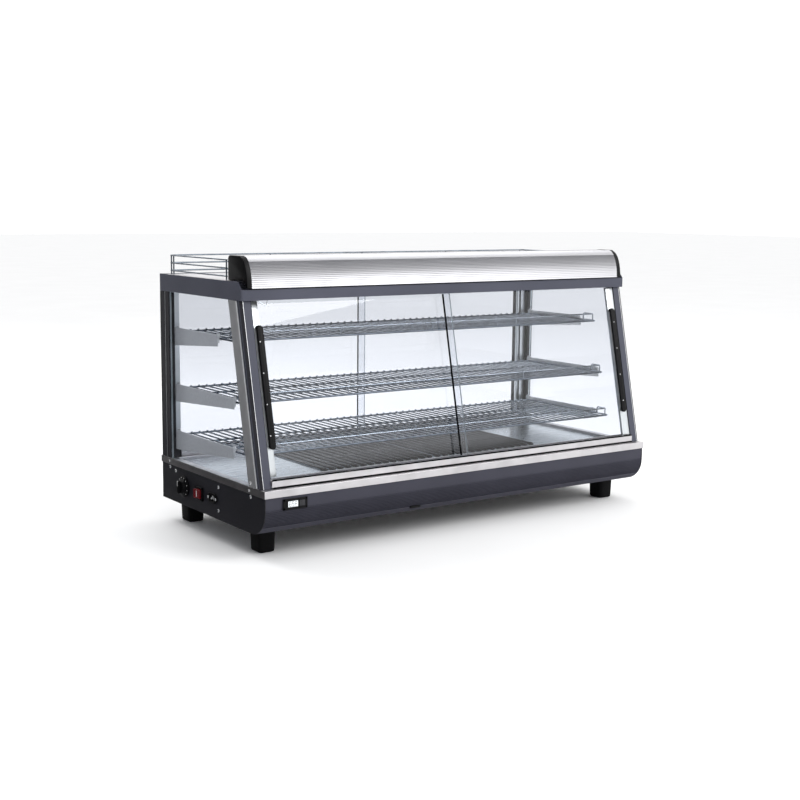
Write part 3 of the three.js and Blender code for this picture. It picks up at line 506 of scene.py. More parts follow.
class CASE_OT_base(bpy.types.Operator):
    """Builds the painted base, its feet and the screws that hold it"""
    bl_idname = "case.build_base"
    bl_label = "Base"

    def execute(self, context):
        edge = context.scene.case_sizes.sheet_edge * 1000
        # Sides, back and bottom take the darker copy of the powder: painted shade.
        for node in ("base_side_left", "base_side_right", "base_rear_panel", "base_bottom_plate"):
            dress(node, "dark_paint", edge)
        self.front_panel()
        self.feet()
        self.screws()
        return {"FINISHED"}

    def front_panel(self):
        """Upright face that rolls under through a quarter circle."""
        wall = 2.0
        middle = (FRONT_PANEL + BEND, FOOT_TOP + GAP + BEND)
        outer = arc(middle, BEND, math.pi, math.pi * 1.5, 24)
        inner = arc(middle, BEND - wall, math.pi * 1.5, math.pi, 24)
        outline = [(FRONT_PANEL, FRONT_PANEL_TOP), *outer, *inner, (FRONT_PANEL + wall, FRONT_PANEL_TOP)]
        bm = bmesh.new()
        prism(bm, outline, "x", -FRONT_PANEL_HALF, FRONT_PANEL_HALF)
        finish_piece(bm, "front_panel", "panel_paint", "cabinet", ("base_front_panel",), smooth=30)
        bm = bmesh.new()
        box(bm, (-183, -153), (-255.5, -246), (73.5, 79.5), 1.5, 3)
        finish_piece(bm, "drain_tab", "plastic", "cabinet")

    def feet(self):
        """Tapered moulded feet with rounded corners and soles."""
        for name, side in SIDES:
            for row, y in FOOT_ROWS:
                bm = bmesh.new()
                verts = bmesh.ops.create_cube(bm, size=1.0)["verts"]
                for vert in verts:
                    taper = 1.0 if vert.co.z > 0 else 0.93
                    vert.co.x *= FOOT_SIZE[0] * taper
                    vert.co.y *= FOOT_SIZE[1] * taper
                    vert.co.z = (vert.co.z + 0.5) * FOOT_TOP
                upright = [line for line in bm.edges if abs(line.verts[0].co.z - line.verts[1].co.z) > 1]
                bevel(bm, upright, 9.0, 4, clamp=False)
                sole = [line for line in bm.edges if max(vert.co.z for vert in line.verts) < 0.01]
                bevel(bm, sole, 5.5, 4, clamp=False)
                middle = side * FOOT_X
                bmesh.ops.translate(bm, vec=(middle, y, 0), verts=bm.verts)
                box(bm, (middle - 24.5, middle + 24.5), (y - 27.5, y + 27.5), (FOOT_TOP - 4, FOOT_TOP), 1.2)
                node = f"foot_{row}_{name}"
                finish_piece(bm, f"moulded_{node}", "rubber", "cabinet", (node,))

    def screws(self):
        """Screws through the side panels, the trim's side and the post strips."""
        for name, side in SIDES:
            bm = bmesh.new()
            way = (side, 0, 0)
            for y, z in ((190, 138), (-42, 137), (-41, 79), (-201, 143), (222, 143)):
                screw(bm, (side * SIDE_PANEL, y, z), way, 4.3)
            for y, z in ((-197, 157.5), (221, 158)):
                screw(bm, (side * 600, y, z), way)
            screw(bm, (side * POST_OUTER, -203.5, 176), way, 4.2, 1)
            finish_piece(bm, f"side_screws_{name}", ("zinc", "rubber"), "cabinet")


class CASE_OT_controls(bpy.types.Operator):
    """Builds the dial, the lit switch, the power inlet and the thermometer"""
    bl_idname = "case.build_controls"
    bl_label = "Controls"

    def execute(self, context):
        dress("thermostat_body", "brushed_up", 0.4)
        self.dial()
        self.switch()
        self.inlet()
        self.thermometer()
        return {"FINISHED"}

    def dial(self):
        """Skirted knob with a grip bar, a pointer of dots and a scale round the skirt."""
        place = facing((-SIDE_PANEL, *KNOB), (-1, 0, 0))
        bm = bmesh.new()
        skirt = [(0, 0.6), (25.6, 0.6), (26.6, 1.2), (27, 2.2), (27, 3.6), (26.4, 4.8), (25, 5.4),
                 (18.6, 6.2), (17.8, 7.2), (17.2, 12.6), (16.2, 14.2), (14.4, 15), (0, 15)]
        turned(bm, skirt, place, 48)
        turned(bm, [(0, 0.8), (3, 0.8), (3, -10.5), (0, -10.5)], place, 16)
        for flute in range(24):
            turn = place @ Matrix.Rotation(math.tau * flute / 24, 4, "Z")
            rib = turn @ Matrix.Translation((17.3, 0, 10)) @ Matrix.Diagonal((1.6, 1.9, 6.4, 1))
            bmesh.ops.create_uvsphere(bm, u_segments=8, v_segments=6, radius=0.5, matrix=rib)
        grip = bmesh.new()
        box(grip, (-5, 5), (-16, 16), (13, 20.8), 2.6, 4)
        bmesh.ops.transform(grip, matrix=place, verts=grip.verts)
        self.take(bm, grip)
        for step in range(4):
            dot = place @ Matrix.Translation((0, 4.4 + 3.6 * step, 20.6))
            turned(bm, [(0, 0.35), (1.2, 0.35), (1.4, 0), (0, 0)], dot, 12, look=1)
        for tick in range(10):
            turn = place @ Matrix.Rotation(math.radians(tick * 30 - 135), 4, "Z")
            long = 4.4 if tick % 3 == 0 else 3.2
            size = Matrix.Diagonal((1.3, long, 0.5, 1))
            matrix = turn @ Matrix.Translation((0, 24.6 - long / 2, 5.55)) @ size
            give_look(bmesh.ops.create_cube(bm, size=1.0, matrix=matrix)["verts"], 1)
        finish_piece(bm, "thermostat_dial", ("plastic", "ink"), "knob", ("thermostat_knob",))

    @staticmethod
    def take(bm, other):
        """Moves another bmesh's shape into bm."""
        mesh = bpy.data.meshes.new("part")
        other.to_mesh(mesh)
        other.free()
        bm.from_mesh(mesh)
        bpy.data.meshes.remove(mesh)

    def switch(self):
        """Bezel with a pocket, and the rocker in it."""
        y, z = ROCKER
        bm = bmesh.new()
        face, back = -SIDE_PANEL - 5, -SIDE_PANEL - GAP
        wide, tall = (y - 19, y + 19), (z - 16.5, z + 16.5)
        for across, up in ((wide, (z + 12.2, z + 16.5)), (wide, (z - 16.5, z - 12.2)),
                           ((y - 19, y - 13.6), tall), ((y + 13.6, y + 19), tall)):
            box(bm, (face, back), across, up, 1.1, 3)
        box(bm, (back, -570), (y - 16, y + 16), (z - 13.5, z + 13.5), 0.8)
        finish_piece(bm, "switch_bezel", "plastic", "cabinet", ("power_switch_body",))
        bm = copy_of("power_switch_rocker")
        round_edges(bm, 0.9, 3, 20.0)
        finish_piece(bm, "switch_rocker", "lens", "rocker", ("power_switch_rocker",), smooth=50,
                     in_metres=True)
        # White bar down the rocker: a printed mark that also stands in for the lens's pale upright highlight,
        # a painted highlight.
        bm = bmesh.new()
        box(bm, (-SIDE_PANEL - 10.2, -SIDE_PANEL - 9.2), (y + 0.2, y + 1.8), (z - 7.5, z + 7.5), 0.3)
        finish_piece(bm, "rocker_mark_and_highlight", "ink", "rocker")

    def inlet(self):
        """Recessed inlet with its three pins and two fixing screws."""
        y, z = INLET
        bm = copy_of("power_inlet")
        round_edges(bm, 0.5, 2, 35.0)
        finish_piece(bm, "inlet_housing", "plastic", "cabinet", ("power_inlet",), in_metres=True)
        bm = bmesh.new()
        for dy, dz in ((0, 3.4), (-6.6, -2.2), (6.6, -2.2)):
            box(bm, (-SIDE_PANEL - 1.5, -SIDE_PANEL + 16), (y + dy - 1.1, y + dy + 1.1),
                (z + dz - 2.2, z + dz + 2.2), 0.6)
        finish_piece(bm, "inlet_pins", "zinc", "cabinet")
        bm = bmesh.new()
        for dy in (-19.2, 19.2):
            screw(bm, (-SIDE_PANEL - 3, y + dy, z), (-1, 0, 0), 3.3)
        finish_piece(bm, "inlet_screws", ("zinc", "rubber"), "cabinet")

    def thermometer(self):
        """Bezel round a white display with three figures, and a small keypad."""
        x, z = DISPLAY
        face = FRONT_PANEL - 2.4
        bm = bmesh.new()
        wide, tall = (x - 32.5, x + 32.5), (z - 13, z + 13)
        for across, up in ((wide, (z + 6.8, z + 13)), (wide, (z - 13, z - 6.8)), ((x - 32.5, x - 26.5), tall),
                           ((x + 27, x + 32.5), tall), ((x + 7.5, x + 12), (z - 12, z + 12))):
            box(bm, across, (face, FRONT_PANEL - GAP), up, 0.7, 3)
        box(bm, (x - 28, x + 28), (FRONT_PANEL - 0.8, FRONT_PANEL + 16), (z - 9.5, z + 9.5), 0.5)
        finish_piece(bm, "thermometer_case", "plastic", "cabinet", ("thermometer",))
        bm = bmesh.new()
        box(bm, (x - 18.2, x + 8), (FRONT_PANEL - 1.5, FRONT_PANEL - 0.5), (z - 7.2, z + 7.2), 0.3)
        for place, figure in enumerate(((1, 1, 0, 1, 1, 1, 1), (1, 1, 1, 1, 0, 1, 1), (1, 1, 1, 1, 1, 1, 0))):
            self.figure(bm, x - 15.6 + 7.6 * place, z, figure)
        finish_piece(bm, "thermometer_display", ("display", "plastic"), "cabinet")
        bm = bmesh.new()
        box(bm, (x + 12, x + 27), (FRONT_PANEL - 1.4, FRONT_PANEL - 0.5), (z - 9.2, z + 9.2), 0.3)
        for dz in (-3.4, 3.4):
            turned(bm, [(0, 0.8), (2.0, 0.8), (2.5, 0.3), (2.5, 0), (0, 0)],
                   facing((x + 19.5, FRONT_PANEL - 1.4, z + dz), (0, -1, 0)), 20)
        finish_piece(bm, "thermometer_keypad", "keypad", "cabinet")

    @staticmethod
    def figure(bm, x, z, lit):
        """A seven-segment figure: top, two upper, middle, two lower and bottom bars."""
        wide, tall, bar = 5.2, 11.0, 0.9
        half = tall / 2
        bars = (
            (x, x + wide, z + half - bar, z + half), (x, x + bar, z, z + half),
            (x + wide - bar, x + wide, z, z + half), (x, x + wide, z - bar / 2, z + bar / 2),
            (x, x + bar, z - half, z), (x + wide - bar, x + wide, z - half, z),
            (x, x + wide, z - half, z - half + bar))
        for shown, (x0, x1, z0, z1) in zip(lit, bars):
            if shown:
                box(bm, (x0, x1), (FRONT_PANEL - 1.62, FRONT_PANEL - 1.45), (z0, z1), look=1)


class CASE_OT_deck(bpy.types.Operator):
    """Builds the stainless deck, the ribbed heater covers and the door tracks"""
    bl_idname = "case.build_deck"
    bl_label = "Deck"

    def execute(self, context):
        edge = context.scene.case_sizes.sheet_edge * 1000
        dress("deck_trim", "brushed", edge)
        dress("front_track", "brushed", 0.3)
        dress("rear_track", "brushed", 0.3)
        dress("floor_deck", "deck", edge)
        dress("heating_element", "element", 2.0, 3)
        rise = context.scene.case_sizes.rib_rise * 1000
        for name, side in SIDES:
            self.heater_cover(name, side, rise)
        self.seals_and_shadow_strip()
        return {"FINISHED"}

    def heater_cover(self, name, side, rise):
        """Steel plate with enamelled ribs that run from front to back and end in rounded noses; the plate's
        lighter grey between the black ribs is a painted highlight.
        """
        bm = bmesh.new()
        inner, outer, front, rear, ribs = 2.0, 346.0, -112.0, 168.0, 15
        pitch = (outer - inner) / ribs
        low = FLOOR_TOP + GAP
        # Plate in the lighter dull chrome, so pale lines show between the black ribs: a painted highlight for
        # the light along them.
        box(bm, (inner, outer), (front + 20, rear), (low, low + 1.5), 0.6, look=1)
        length = rear - front - 6
        for rib in range(ribs):
            middle = inner + (rib + 0.5) * pitch
            radius = 0.34 * pitch
            made = bmesh.ops.create_uvsphere(bm, u_segments=16, v_segments=8, radius=1.0)["verts"]
            nose = [vert for vert in made if vert.co.y < -0.001]
            tail = [vert for vert in made if vert.co.y > 0.001]
            bmesh.ops.scale(bm, vec=(radius, radius, rise + 1.2), verts=made)
            bmesh.ops.translate(bm, vec=(0, -(length / 2 - radius), 0), verts=nose)
            bmesh.ops.translate(bm, vec=(0, length / 2 - radius, 0), verts=tail)
            bmesh.ops.translate(bm, vec=(middle, (front + rear) / 2, low + 0.4), verts=made)
        below = [vert for vert in bm.verts if vert.co.z < low]
        for vert in below:
            vert.co.z = low
        mirror(bm, side)
        finish_piece(bm, f"ribbed_cover_{name}", ("enamel", "dull_chrome"), f"{name}_heater_cover",
                     (f"heater_cover_{name}",), 50)

    def seals_and_shadow_strip(self):
        """Black brush seals above the front track's lip and along the rear one, and below the front lip a
        black strip that is a painted shadow in the gap there.
        """
        bm = bmesh.new()
        lean_y = LEAN_LOW[0] + LEAN * (TRIM_TOP - LEAN_LOW[1])
        box(bm, (-570, 570), (lean_y - 4.6, lean_y - 2.2), (184.6, 188.2), 0.5)
        # Black strip below the lip: painted shadow in the gap between the trim and the track.
        box(bm, (-570, 570), (lean_y - 5.8, lean_y - 4.4), (TRIM_TOP + 0.1, TRIM_TOP + 3.8), 0.4)
        box(bm, (-564, 564), (REAR_DOOR - 7, REAR_DOOR - 5.2), (184.6, 187.2), 0.5)
        finish_piece(bm, "track_seals", "rubber", "cabinet")


class CASE_OT_cabinet(bpy.types.Operator):
    """Builds the posts, the rails, the side panes and the top"""
    bl_idname = "case.build_cabinet"
    bl_label = "Cabinet frame"

    def execute(self, context):
        edge = context.scene.case_sizes.sheet_edge * 1000
        for name, side in SIDES:
            dress(f"front_post_{name}", "paint", edge * 1.6)
            dress(f"front_post_strip_{name}", "brushed_up", edge)
            dress(f"rear_post_{name}", "dark_paint", edge)
            dress(f"top_side_band_{name}", "paint", edge)
            self.post_strips_and_highlights(name, side)
            self.side_pane(name, side)
        for node in ("top_front_rail", "top_rear_rail"):
            dress(node, "paint", edge)
        dress("top_panel", "brushed", edge)
        dress("lamp_batten", "opal", 3.0, 3)
        self.spring()
        return {"FINISHED"}

    def post_strips_and_highlights(self, name, side):
        """Glazing beads down the side of each front post, its door gasket, and the rear post's strips; the
        zinc lines, the chamfer's darker paint and the pale strip on the rear post's side are painted light.
        """
        low, high = TRIM_TOP + 1, RAIL_BOTTOM - 1
        bm = bmesh.new()
        # The zinc strip at the back of the side face is a painted highlight along the edge of the post's
        # strip.
        for near, far, proud, look in ((2.0, 5.8, 0.15, 2), (5.8, 7.6, 0.05, 3), (7.6, 12.0, 0.15, 2),
                                       (12.4, 17.0, 0.4, 0)):
            box(bm, (POST_OUTER - 0.4, POST_OUTER + proud), (near, far), (low, high), look=look)
        # Zinc line along the face's outer corner: a painted highlight.
        box(bm, (POST_FACE - 0.8, POST_FACE + 0.2), (-2.8, -2.3), (low, high))
        # The chamfer takes the darker paint: painted shade.
        chamfer = [(POST_FACE + 0.4, -2.4), (POST_OUTER - 0.2, 1.3), (POST_OUTER - 0.1, 1.0),
                   (POST_FACE + 0.4, -2.7)]
        prism(bm, chamfer, "z", low, high, look=1)
        mirror(bm, side)
        finish_piece(bm, f"post_strips_and_highlights_{name}", ("zinc", "dark_paint", "paint", "rubber"), "cabinet",
                     lean=True)
        bm = bmesh.new()
        box(bm, (DOOR_EDGES["front"] + 0.6, POST_INNER - 0.1), (-1.6, 25.4), (187.5, 589.5), 0.6)
        mirror(bm, side)
        finish_piece(bm, f"door_gasket_{name}", "rubber", "cabinet", lean=True)
        bm = bmesh.new()
        # Pale strip down the rear post's side: a painted highlight where a seam there catches the light.
        box(bm, (599.6, 600.3), (232.4, 234.2), (low, high))
        box(bm, (565.4, 583.6), (225.5, 226.2), (188, high))
        mirror(bm, side)
        finish_piece(bm, f"rear_post_strips_{name}", "aluminium", "cabinet")

    def side_pane(self, name, side):
        node = f"side_glass_{name}"
        bm = copy_of(node)
        mark_edges(bm, axis=0)
        round_edges(bm, 0.4, 1, 60.0)
        finish_piece(bm, f"side_pane_{name}", ("glass", "glass_edge"), "cabinet", (node,), smooth=20,
                     in_metres=True)

    def spring(self):
        """Bent spring wire under the front rail, near its left end."""
        bm = bmesh.new()
        path = [(-563, -160, 591.5), (-556, -162, 590), (-533, -162, 577.5), (-529, -162, 591)]
        tube(bm, rounded(path, 1.8, 4), 0.9, 8)
        finish_piece(bm, "rail_spring", "chrome", "cabinet")


def mark_edges(bm, axis):
    """Gives the narrow faces of a pane, those that don't face along the axis, the second material."""
    for face in bm.faces:
        face.normal_update()
        face.material_index = 0 if abs(face.normal[axis]) > 0.7 else 1


class CASE_OT_doors(bpy.types.Operator):
    """Builds the four sliding panes with their edge profiles, grips and rivets"""
    bl_idname = "case.build_doors"
    bl_label = "Sliding doors"

    def execute(self, context):
        for name, side in SIDES:
            for row in ("front", "rear"):
                self.pane(row, name, side)
                self.profile(row, name, side)
            self.handle(name, side)
            self.rear_pull(name, side)
        return {"FINISHED"}

    @staticmethod
    def inset(side):
        return DOOR_PITCH if side < 0 else 0.0

    def pane(self, row, name, side):
        node = f"{row}_door_{name}"
        bm = copy_of(node)
        mark_edges(bm, axis=1)
        round_edges(bm, 0.4, 1, 60.0)
        finish_piece(bm, f"{row}_pane_{name}", ("glass", "glass_edge"), f"{name}_{row}_door", (node,),
                     smooth=20, in_metres=True)

    def profile(self, row, name, side):
        """Aluminium channel over the pane's outer edge, and a black seal on a right door's inner one."""
        leans = row == "front"
        outer = DOOR_EDGES[row]
        near = self.inset(side) + (0 if leans else REAR_DOOR)
        bm = bmesh.new()
        wide = 24.0 if leans else 19.0
        for low, high, proud in ((outer - wide, outer, 0.9), (outer - wide - 1.4, outer - wide, 1.3)):
            box(bm, (low, high + 0.4), (near - proud, near + GLASS + proud), DOOR_SPAN, 0.4)
        if side > 0:
            wide = 1.6 if leans else 0.8
            box(bm, (-18.3, -18.3 + wide), (near - 0.6, near + GLASS + 0.6), DOOR_SPAN, 0.3, look=1)
        mirror(bm, side)
        finish_piece(bm, f"{row}_profile_{name}", ("aluminium", "rubber"), f"{name}_{row}_door",
                     lean=leans)

    def handle(self, name, side):
        """Long rounded grip bar, riveted through the profile."""
        width, depth, low, high = 18.0, 10.5, 251.0, 533.0
        radius, face = width / 2, self.inset(side) - 0.3
        x = DOOR_EDGES["front"] - (12 if side < 0 else 7) - radius
        outline = arc((x, high - radius), radius, 0, math.pi, 12)
        outline += arc((x, low + radius), radius, math.pi, math.tau, 12)
        bm = bmesh.new()
        prism(bm, outline, "y", face - depth, face, 3.4, 5)
        groove = (face - depth - 0.25, face - depth + 0.6)
        box(bm, (x - 1.4, x + 1.4), groove, (low + 14, high - 14), 0.25)
        mirror(bm, side)
        flank = side * x - radius
        box(bm, (flank - 0.2, flank + 2.4), (face - 5.5, face - 0.4), (low + 9, high - 9), 0.4, look=1)
        finish_piece(bm, f"grip_bar_{name}", ("plastic", "brushed_up"), f"{name}_front_door",
                     (f"front_handle_{name}",), lean=True)
        bm = bmesh.new()
        for z in (283, 354, 425, 496):
            turned(bm, [(0, 0.9), (0.9, 0.7), (1.5, 0.2), (1.5, -0.6), (0, -0.6)],
                   facing((side * 552, face - depth + 0.3, z), (0, -1, 0)), 12)
        finish_piece(bm, f"grip_rivets_{name}", "zinc", f"{name}_front_door", lean=True)

    def rear_pull(self, name, side):
        """Finger pull on the staff's side of each rear pane."""
        face = REAR_DOOR + self.inset(side) + GLASS + 0.9
        bm = bmesh.new()
        box(bm, (561.5, 565), (face, face + 6.5), (300, 460), 1.2, 3)
        box(bm, (556, 565), (face, face + 1.4), (300, 460), 0.6)
        mirror(bm, side)
        finish_piece(bm, f"rear_pull_{name}", "aluminium", f"{name}_rear_door")


class CASE_OT_racks(bpy.types.Operator):
    """Builds the three wire racks, their guard wires and the bracket arms"""
    bl_idname = "case.build_racks"
    bl_label = "Racks"

    def execute(self, context):
        sizes = context.scene.case_sizes
        for name in RACKS:
            self.grille(name, sizes.rim_wire * 500, sizes.cross_wire * 500)
            self.guard(name, sizes.guard_rise * 1000)
            for side_name, side in SIDES:
                dress(f"bracket_arm_{name}_{side_name}", "zinc", 0.4)
                self.arm_fittings(name, side_name, side)
        return {"FINISHED"}

    def grille(self, name, rim, wire):
        """Rim, two stays and cross wires whose rear ends hook over the rim."""
        level, front, _ = RACKS[name]
        bm = bmesh.new()
        z = level - 2
        a, b = RACK_HALF - rim, RACK_REAR - rim
        near = front + rim
        loop = [(0, b, z), (a, b, z), (a, near, z), (-a, near, z), (-a, b, z), (0.01, b, z)]
        tube(bm, rounded(loop, 9), rim, 10, look=1)
        for share in (0.36, 0.68):
            y = near + share * (b - near)
            tube(bm, [(-a, y, z - wire - 0.8), (a, y, z - wire - 0.8)], wire + 0.5, 8, look=1)
        count = round(2 * (RACK_HALF - 6) / RACK_PITCH)
        step = 2 * (RACK_HALF - 6) / count
        top = level - wire
        path = [(0, near - 1.2, z - 1.0), (0, near + 2.5, top), (0, b - 5, top), (0, b - 1.5, top + 3.6),
                (0, b + 2.4, top + 3.2), (0, b + 2.2, top - 0.8)]
        first = tube(bm, path, wire, 7)
        verts = list({vert for face in first for vert in face.verts})
        bmesh.ops.translate(bm, vec=(-RACK_HALF + 6 + step, 0, 0), verts=verts)
        source = verts + list({edge for vert in verts for edge in vert.link_edges}) + first
        for wire_number in range(1, count - 1):
            made = bmesh.ops.duplicate(bm, geom=source)["geom"]
            bmesh.ops.translate(bm, vec=(step * wire_number, 0, 0), verts=corners_of(made))
        finish_piece(bm, f"wire_{name}", ("chrome", "dull_chrome"), f"{name}_rack", (f"rack_{name}",), 60)

    def guard(self, name, rise):
        """Raised wire along the front, turned back over the rack at both ends, on five pins."""
        level, front, loop = RACKS[name]
        bm = bmesh.new()
        z, y, half = level + rise - 2.2, front + 3.0, GUARD_HALF
        foot = level + 0.2
        path = [(-half, y + loop, foot), (-half, y + loop, z), (-half, y, z), (half, y, z),
                (half, y + loop, z), (half, y + loop, foot)]
        tube(bm, rounded(path, 6), 2.1, 8)
        for x in (-282, 0, 282):
            tube(bm, [(x, y, foot - 1), (x, y, z)], 1.6, 8)
        for x in (-half, half):
            tube(bm, [(x, y + 2, foot), (x, y + 2, z)], 1.6, 8)
            tube(bm, [(x, y + 1, foot + 0.4), (x, y + loop, foot + 0.4)], 1.4, 8)
        finish_piece(bm, f"guard_wire_{name}", "chrome", f"{name}_rack", (f"rack_guard_{name}",), 60)

    def arm_fittings(self, name, side_name, side):
        """Bright clip and wire hook at the arm's front end, and the hook tab on the rear post."""
        level, _, _ = RACKS[name]
        low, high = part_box(f"bracket_arm_{name}_{side_name}")
        tip = low.y * 1000
        bm = bmesh.new()
        box(bm, (ARM_FACE - 3.4, ARM_FACE), (tip + 0.4, tip + 9), (level - 12, level + 9.5), 0.8)
        x = ARM_FACE - 5.8
        hook = [(x, tip + 5, level - 2), (x, tip + 5, level + 10), (x, tip + 17, level + 10),
                (x, tip + 17, level + 2)]
        tube(bm, rounded(hook, 3, 4), 1.5, 8)
        box(bm, (ARM_FACE - 3.2, ARM_FACE), (194, 206), (level + 1, level + 12), 0.8)
        mirror(bm, side)
        finish_piece(bm, f"arm_clips_{name}_{side_name}", "zinc", "cabinet")


class CASE_OT_canopy(bpy.types.Operator):
    """Builds the polished canopy, its end caps and the gallery rail"""
    bl_idname = "case.build_canopy"
    bl_label = "Canopy"

    def execute(self, context):
        self.hood()
        for name, _ in SIDES:
            node = f"hood_end_cap_{name}"
            bm = copy_of(node)
            round_edges(bm, 1.6, 4, 30.0)
            finish_piece(bm, f"canopy_cap_{name}", "plastic", "cabinet", (node,), smooth=42, in_metres=True)
        self.gallery()
        return {"FINISHED"}

    @staticmethod
    def hood_outline(inset):
        """The canopy's skin in (y, z), up the back, over the crown and down the curved face."""
        back, corner = HOOD_BACK - inset, HOOD_TOP - HOOD_CORNER
        points = [(back, PANEL_TOP + GAP), (back, corner)]
        for angle in (math.pi / 2 * step / 6 for step in range(1, 6)):
            points.append((back - HOOD_CORNER + HOOD_CORNER * math.cos(angle),
                           corner + (HOOD_CORNER - inset) * math.sin(angle)))
        crown = HOOD_TOP - inset
        points += [(back - HOOD_CORNER, crown), (HOOD_LIP[0] + HOOD_SWEEP + inset / 2, crown)]
        for angle in (math.pi / 2 * step / 24 for step in range(23, -1, -1)):
            points.append((HOOD_LIP[0] + inset + HOOD_SWEEP * (1 - math.cos(angle)),
                           HOOD_LIP[1] + (crown - HOOD_LIP[1]) * math.sin(angle)))
        return points

    def hood(self):
        """One rolled sheet, open below."""
        bm = bmesh.new()
        outline = self.hood_outline(0) + list(reversed(self.hood_outline(1.5)))
        prism(bm, outline, "x", -HOOD_HALF, HOOD_HALF)
        finish_piece(bm, "rolled_canopy", "polished", "cabinet", ("hood_cover",), smooth=30)

    def gallery(self):
        """Three level wires round three sides, on upright wires."""
        bm = bmesh.new()
        left, right = -582.0, 582.0
        front, rear = -66.0, 242.3
        foot, top, wire, bend = PANEL_TOP + GAP, 681, 1.9, 12
        for z in (680, 661, 642):
            path = [(left, front, z), (left, rear, z), (right, rear, z), (right, front, z)]
            tube(bm, rounded(path, bend, 6), wire, 8)
        for x in (left, right):
            for y in (front + 3, rear - bend):
                tube(bm, [(x, y, foot), (x, y, top)], wire, 8)
        for x in (left + bend, left / 2, 0, right / 2, right - bend):
            tube(bm, [(x, rear, foot), (x, rear, top)], wire, 8)
        finish_piece(bm, "gallery_wires", "dull_chrome", "cabinet",
                     ("gallery_rail_left", "gallery_rail_right", "gallery_rail_rear"), 60)


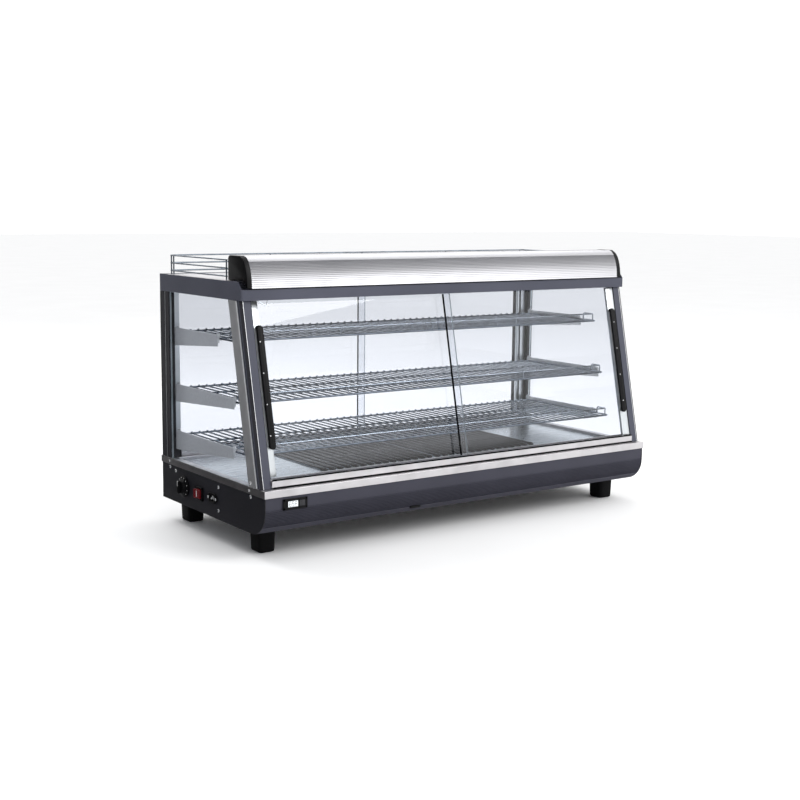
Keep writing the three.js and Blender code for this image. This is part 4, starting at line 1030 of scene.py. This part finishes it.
class CASE_OT_stage(bpy.types.Operator):
    """Sets the pale floor, the soft studio light and the camera"""
    bl_idname = "case.build_stage"
    bl_label = "Stage"

    def execute(self, context):
        scene = context.scene
        scene.view_settings.view_transform = "Standard"
        self.floor(scene)
        self.black_card(scene)
        self.light(scene)
        self.sky(scene)
        self.camera(scene)
        return {"FINISHED"}

    def floor(self, scene):
        """White board far past the edges of the view."""
        made, tree, output = new_material("matt_white_board")
        tone = two_tones(tree, pattern(tree, 400.0), "#f9f9f9", "#fcfcfc")
        shader = add_node(tree, "ShaderNodeBsdfPrincipled", {
            "Base Color": tone, "Roughness": 0.95, "Specular IOR Level": 0.1})
        tree.links.new(shader.outputs["BSDF"], output.inputs["Surface"])
        floor = self.board("floor", made, [Matrix.Diagonal((30, 30, 1, 1))])
        scene.collection.objects.link(floor)

    @staticmethod
    def board(name, material, places):
        """An object of flat squares, each placed by a matrix."""
        bm = bmesh.new()
        for place in places:
            bmesh.ops.create_grid(bm, x_segments=1, y_segments=1, size=1.0, matrix=place)
        mesh = bpy.data.meshes.new(name)
        bm.to_mesh(mesh)
        bm.free()
        mesh.materials.append(material)
        return bpy.data.objects.new(name, mesh)

    def black_card(self, scene):
        """Cards beside the left end that only reflections see, which make the end darker."""
        made, tree, output = new_material("black_felt")
        shader = add_node(tree, "ShaderNodeBsdfPrincipled", {
            "Base Color": two_tones(tree, pattern(tree, 3.0), "#1c1c1e", "#262628"), "Roughness": 1.0})
        tree.links.new(shader.outputs["BSDF"], output.inputs["Surface"])
        upright = Matrix.Translation((-1.05, 0.5, 1.0)) @ Matrix.Rotation(math.pi / 2, 4, "Y")
        lying = Matrix.Translation((-0.84, 0.5, 0.002)) @ Matrix.Diagonal((0.21, 1.0, 1.0, 1.0))
        card = self.board("black_card", made, (upright, lying))
        card.visible_camera = card.visible_diffuse = False
        card.visible_shadow = card.visible_transmission = False
        scene.collection.objects.link(card)

    def light(self, scene):
        """Two softboxes: a large one high in front on the right, and a weaker one over the back."""
        for name, place, size, power in (("key_softbox", (2.2, -3.2, 3.0), 2.6, 95),
                                         ("back_softbox", (-0.6, 2.6, 3.0), 2.4, 60)):
            lamp = bpy.data.lights.new(name, "AREA")
            lamp.shape, lamp.size, lamp.energy = "SQUARE", size, power
            made = bpy.data.objects.new(name, lamp)
            made.location = place
            made.rotation_mode = "QUATERNION"
            made.rotation_quaternion = (Vector((0, 0, 0.3)) - Vector(place)).to_track_quat("-Z", "Y")
            scene.collection.objects.link(made)

    def sky(self, scene):
        """Pale surroundings that fall off to grey on the left, as a studio wall does."""
        world = bpy.data.worlds.new("studio")
        world.use_nodes = True
        tree = world.node_tree
        tree.nodes.clear()
        way = add_node(tree, "ShaderNodeTexCoord").outputs["Generated"]
        across = add_node(tree, "ShaderNodeSeparateXYZ", {"Vector": way}).outputs["X"]
        share = add_node(tree, "ShaderNodeMapRange", {
            "Value": across, "From Min": -1.0, "From Max": 1.0}).outputs["Result"]
        tone = two_tones(tree, share, "#9a9ca0", "#ffffff", 0.18, 0.5)
        glow = add_node(tree, "ShaderNodeBackground", {"Color": tone, "Strength": 1.25})
        output = add_node(tree, "ShaderNodeOutputWorld")
        tree.links.new(glow.outputs["Background"], output.inputs["Surface"])
        scene.world = world

    def camera(self, scene):
        """Camera low on the customer's left, turned half a degree about its own line of sight."""
        place, aim = Vector((-2.02676, -2.82266, 0.81004)), Vector((-0.02833, 0.0, 0.29973))
        view = bpy.data.cameras.new("camera")
        view.lens, view.sensor_width = 59.45, 36.0
        view.clip_start, view.clip_end = 0.05, 200.0
        camera = bpy.data.objects.new("camera", view)
        camera.rotation_mode = "QUATERNION"
        camera.location = place
        roll = Matrix.Rotation(math.radians(0.554), 3, "Z").to_quaternion()
        camera.rotation_quaternion = (aim - place).to_track_quat("-Z", "Y") @ roll
        scene.collection.objects.link(camera)
        scene.camera = camera


BUILDERS = (CASE_OT_base, CASE_OT_controls, CASE_OT_deck, CASE_OT_cabinet, CASE_OT_doors, CASE_OT_racks,
            CASE_OT_canopy, CASE_OT_stage)


class CASE_PT_panel(bpy.types.Panel):
    """Lists the builders and the sizes they use"""
    bl_idname = "CASE_PT_panel"
    bl_label = "Display case"
    bl_space_type = "VIEW_3D"
    bl_region_type = "UI"
    bl_category = "Display case"

    def draw(self, context):
        for group in (context.scene.case_finish, context.scene.case_sizes):
            for name in group.__annotations__:
                self.layout.prop(group, name)
        for builder in BUILDERS:
            self.layout.operator(builder.bl_idname)


CLASSES = (CaseFinish, CaseSizes, *BUILDERS, CASE_PT_panel)


def register():
    for part in CLASSES:
        bpy.utils.register_class(part)
    bpy.types.Scene.case_finish = bpy.props.PointerProperty(type=CaseFinish)
    bpy.types.Scene.case_sizes = bpy.props.PointerProperty(type=CaseSizes)


def unregister():
    del bpy.types.Scene.case_finish
    del bpy.types.Scene.case_sizes
    for part in reversed(CLASSES):
        bpy.utils.unregister_class(part)


def main():
    register()
    MATERIALS.update(make_materials())
    for builder in BUILDERS:
        group, name = builder.bl_idname.split(".")
        getattr(getattr(bpy.ops, group), name)()


if __name__ == "__main__":
    main()
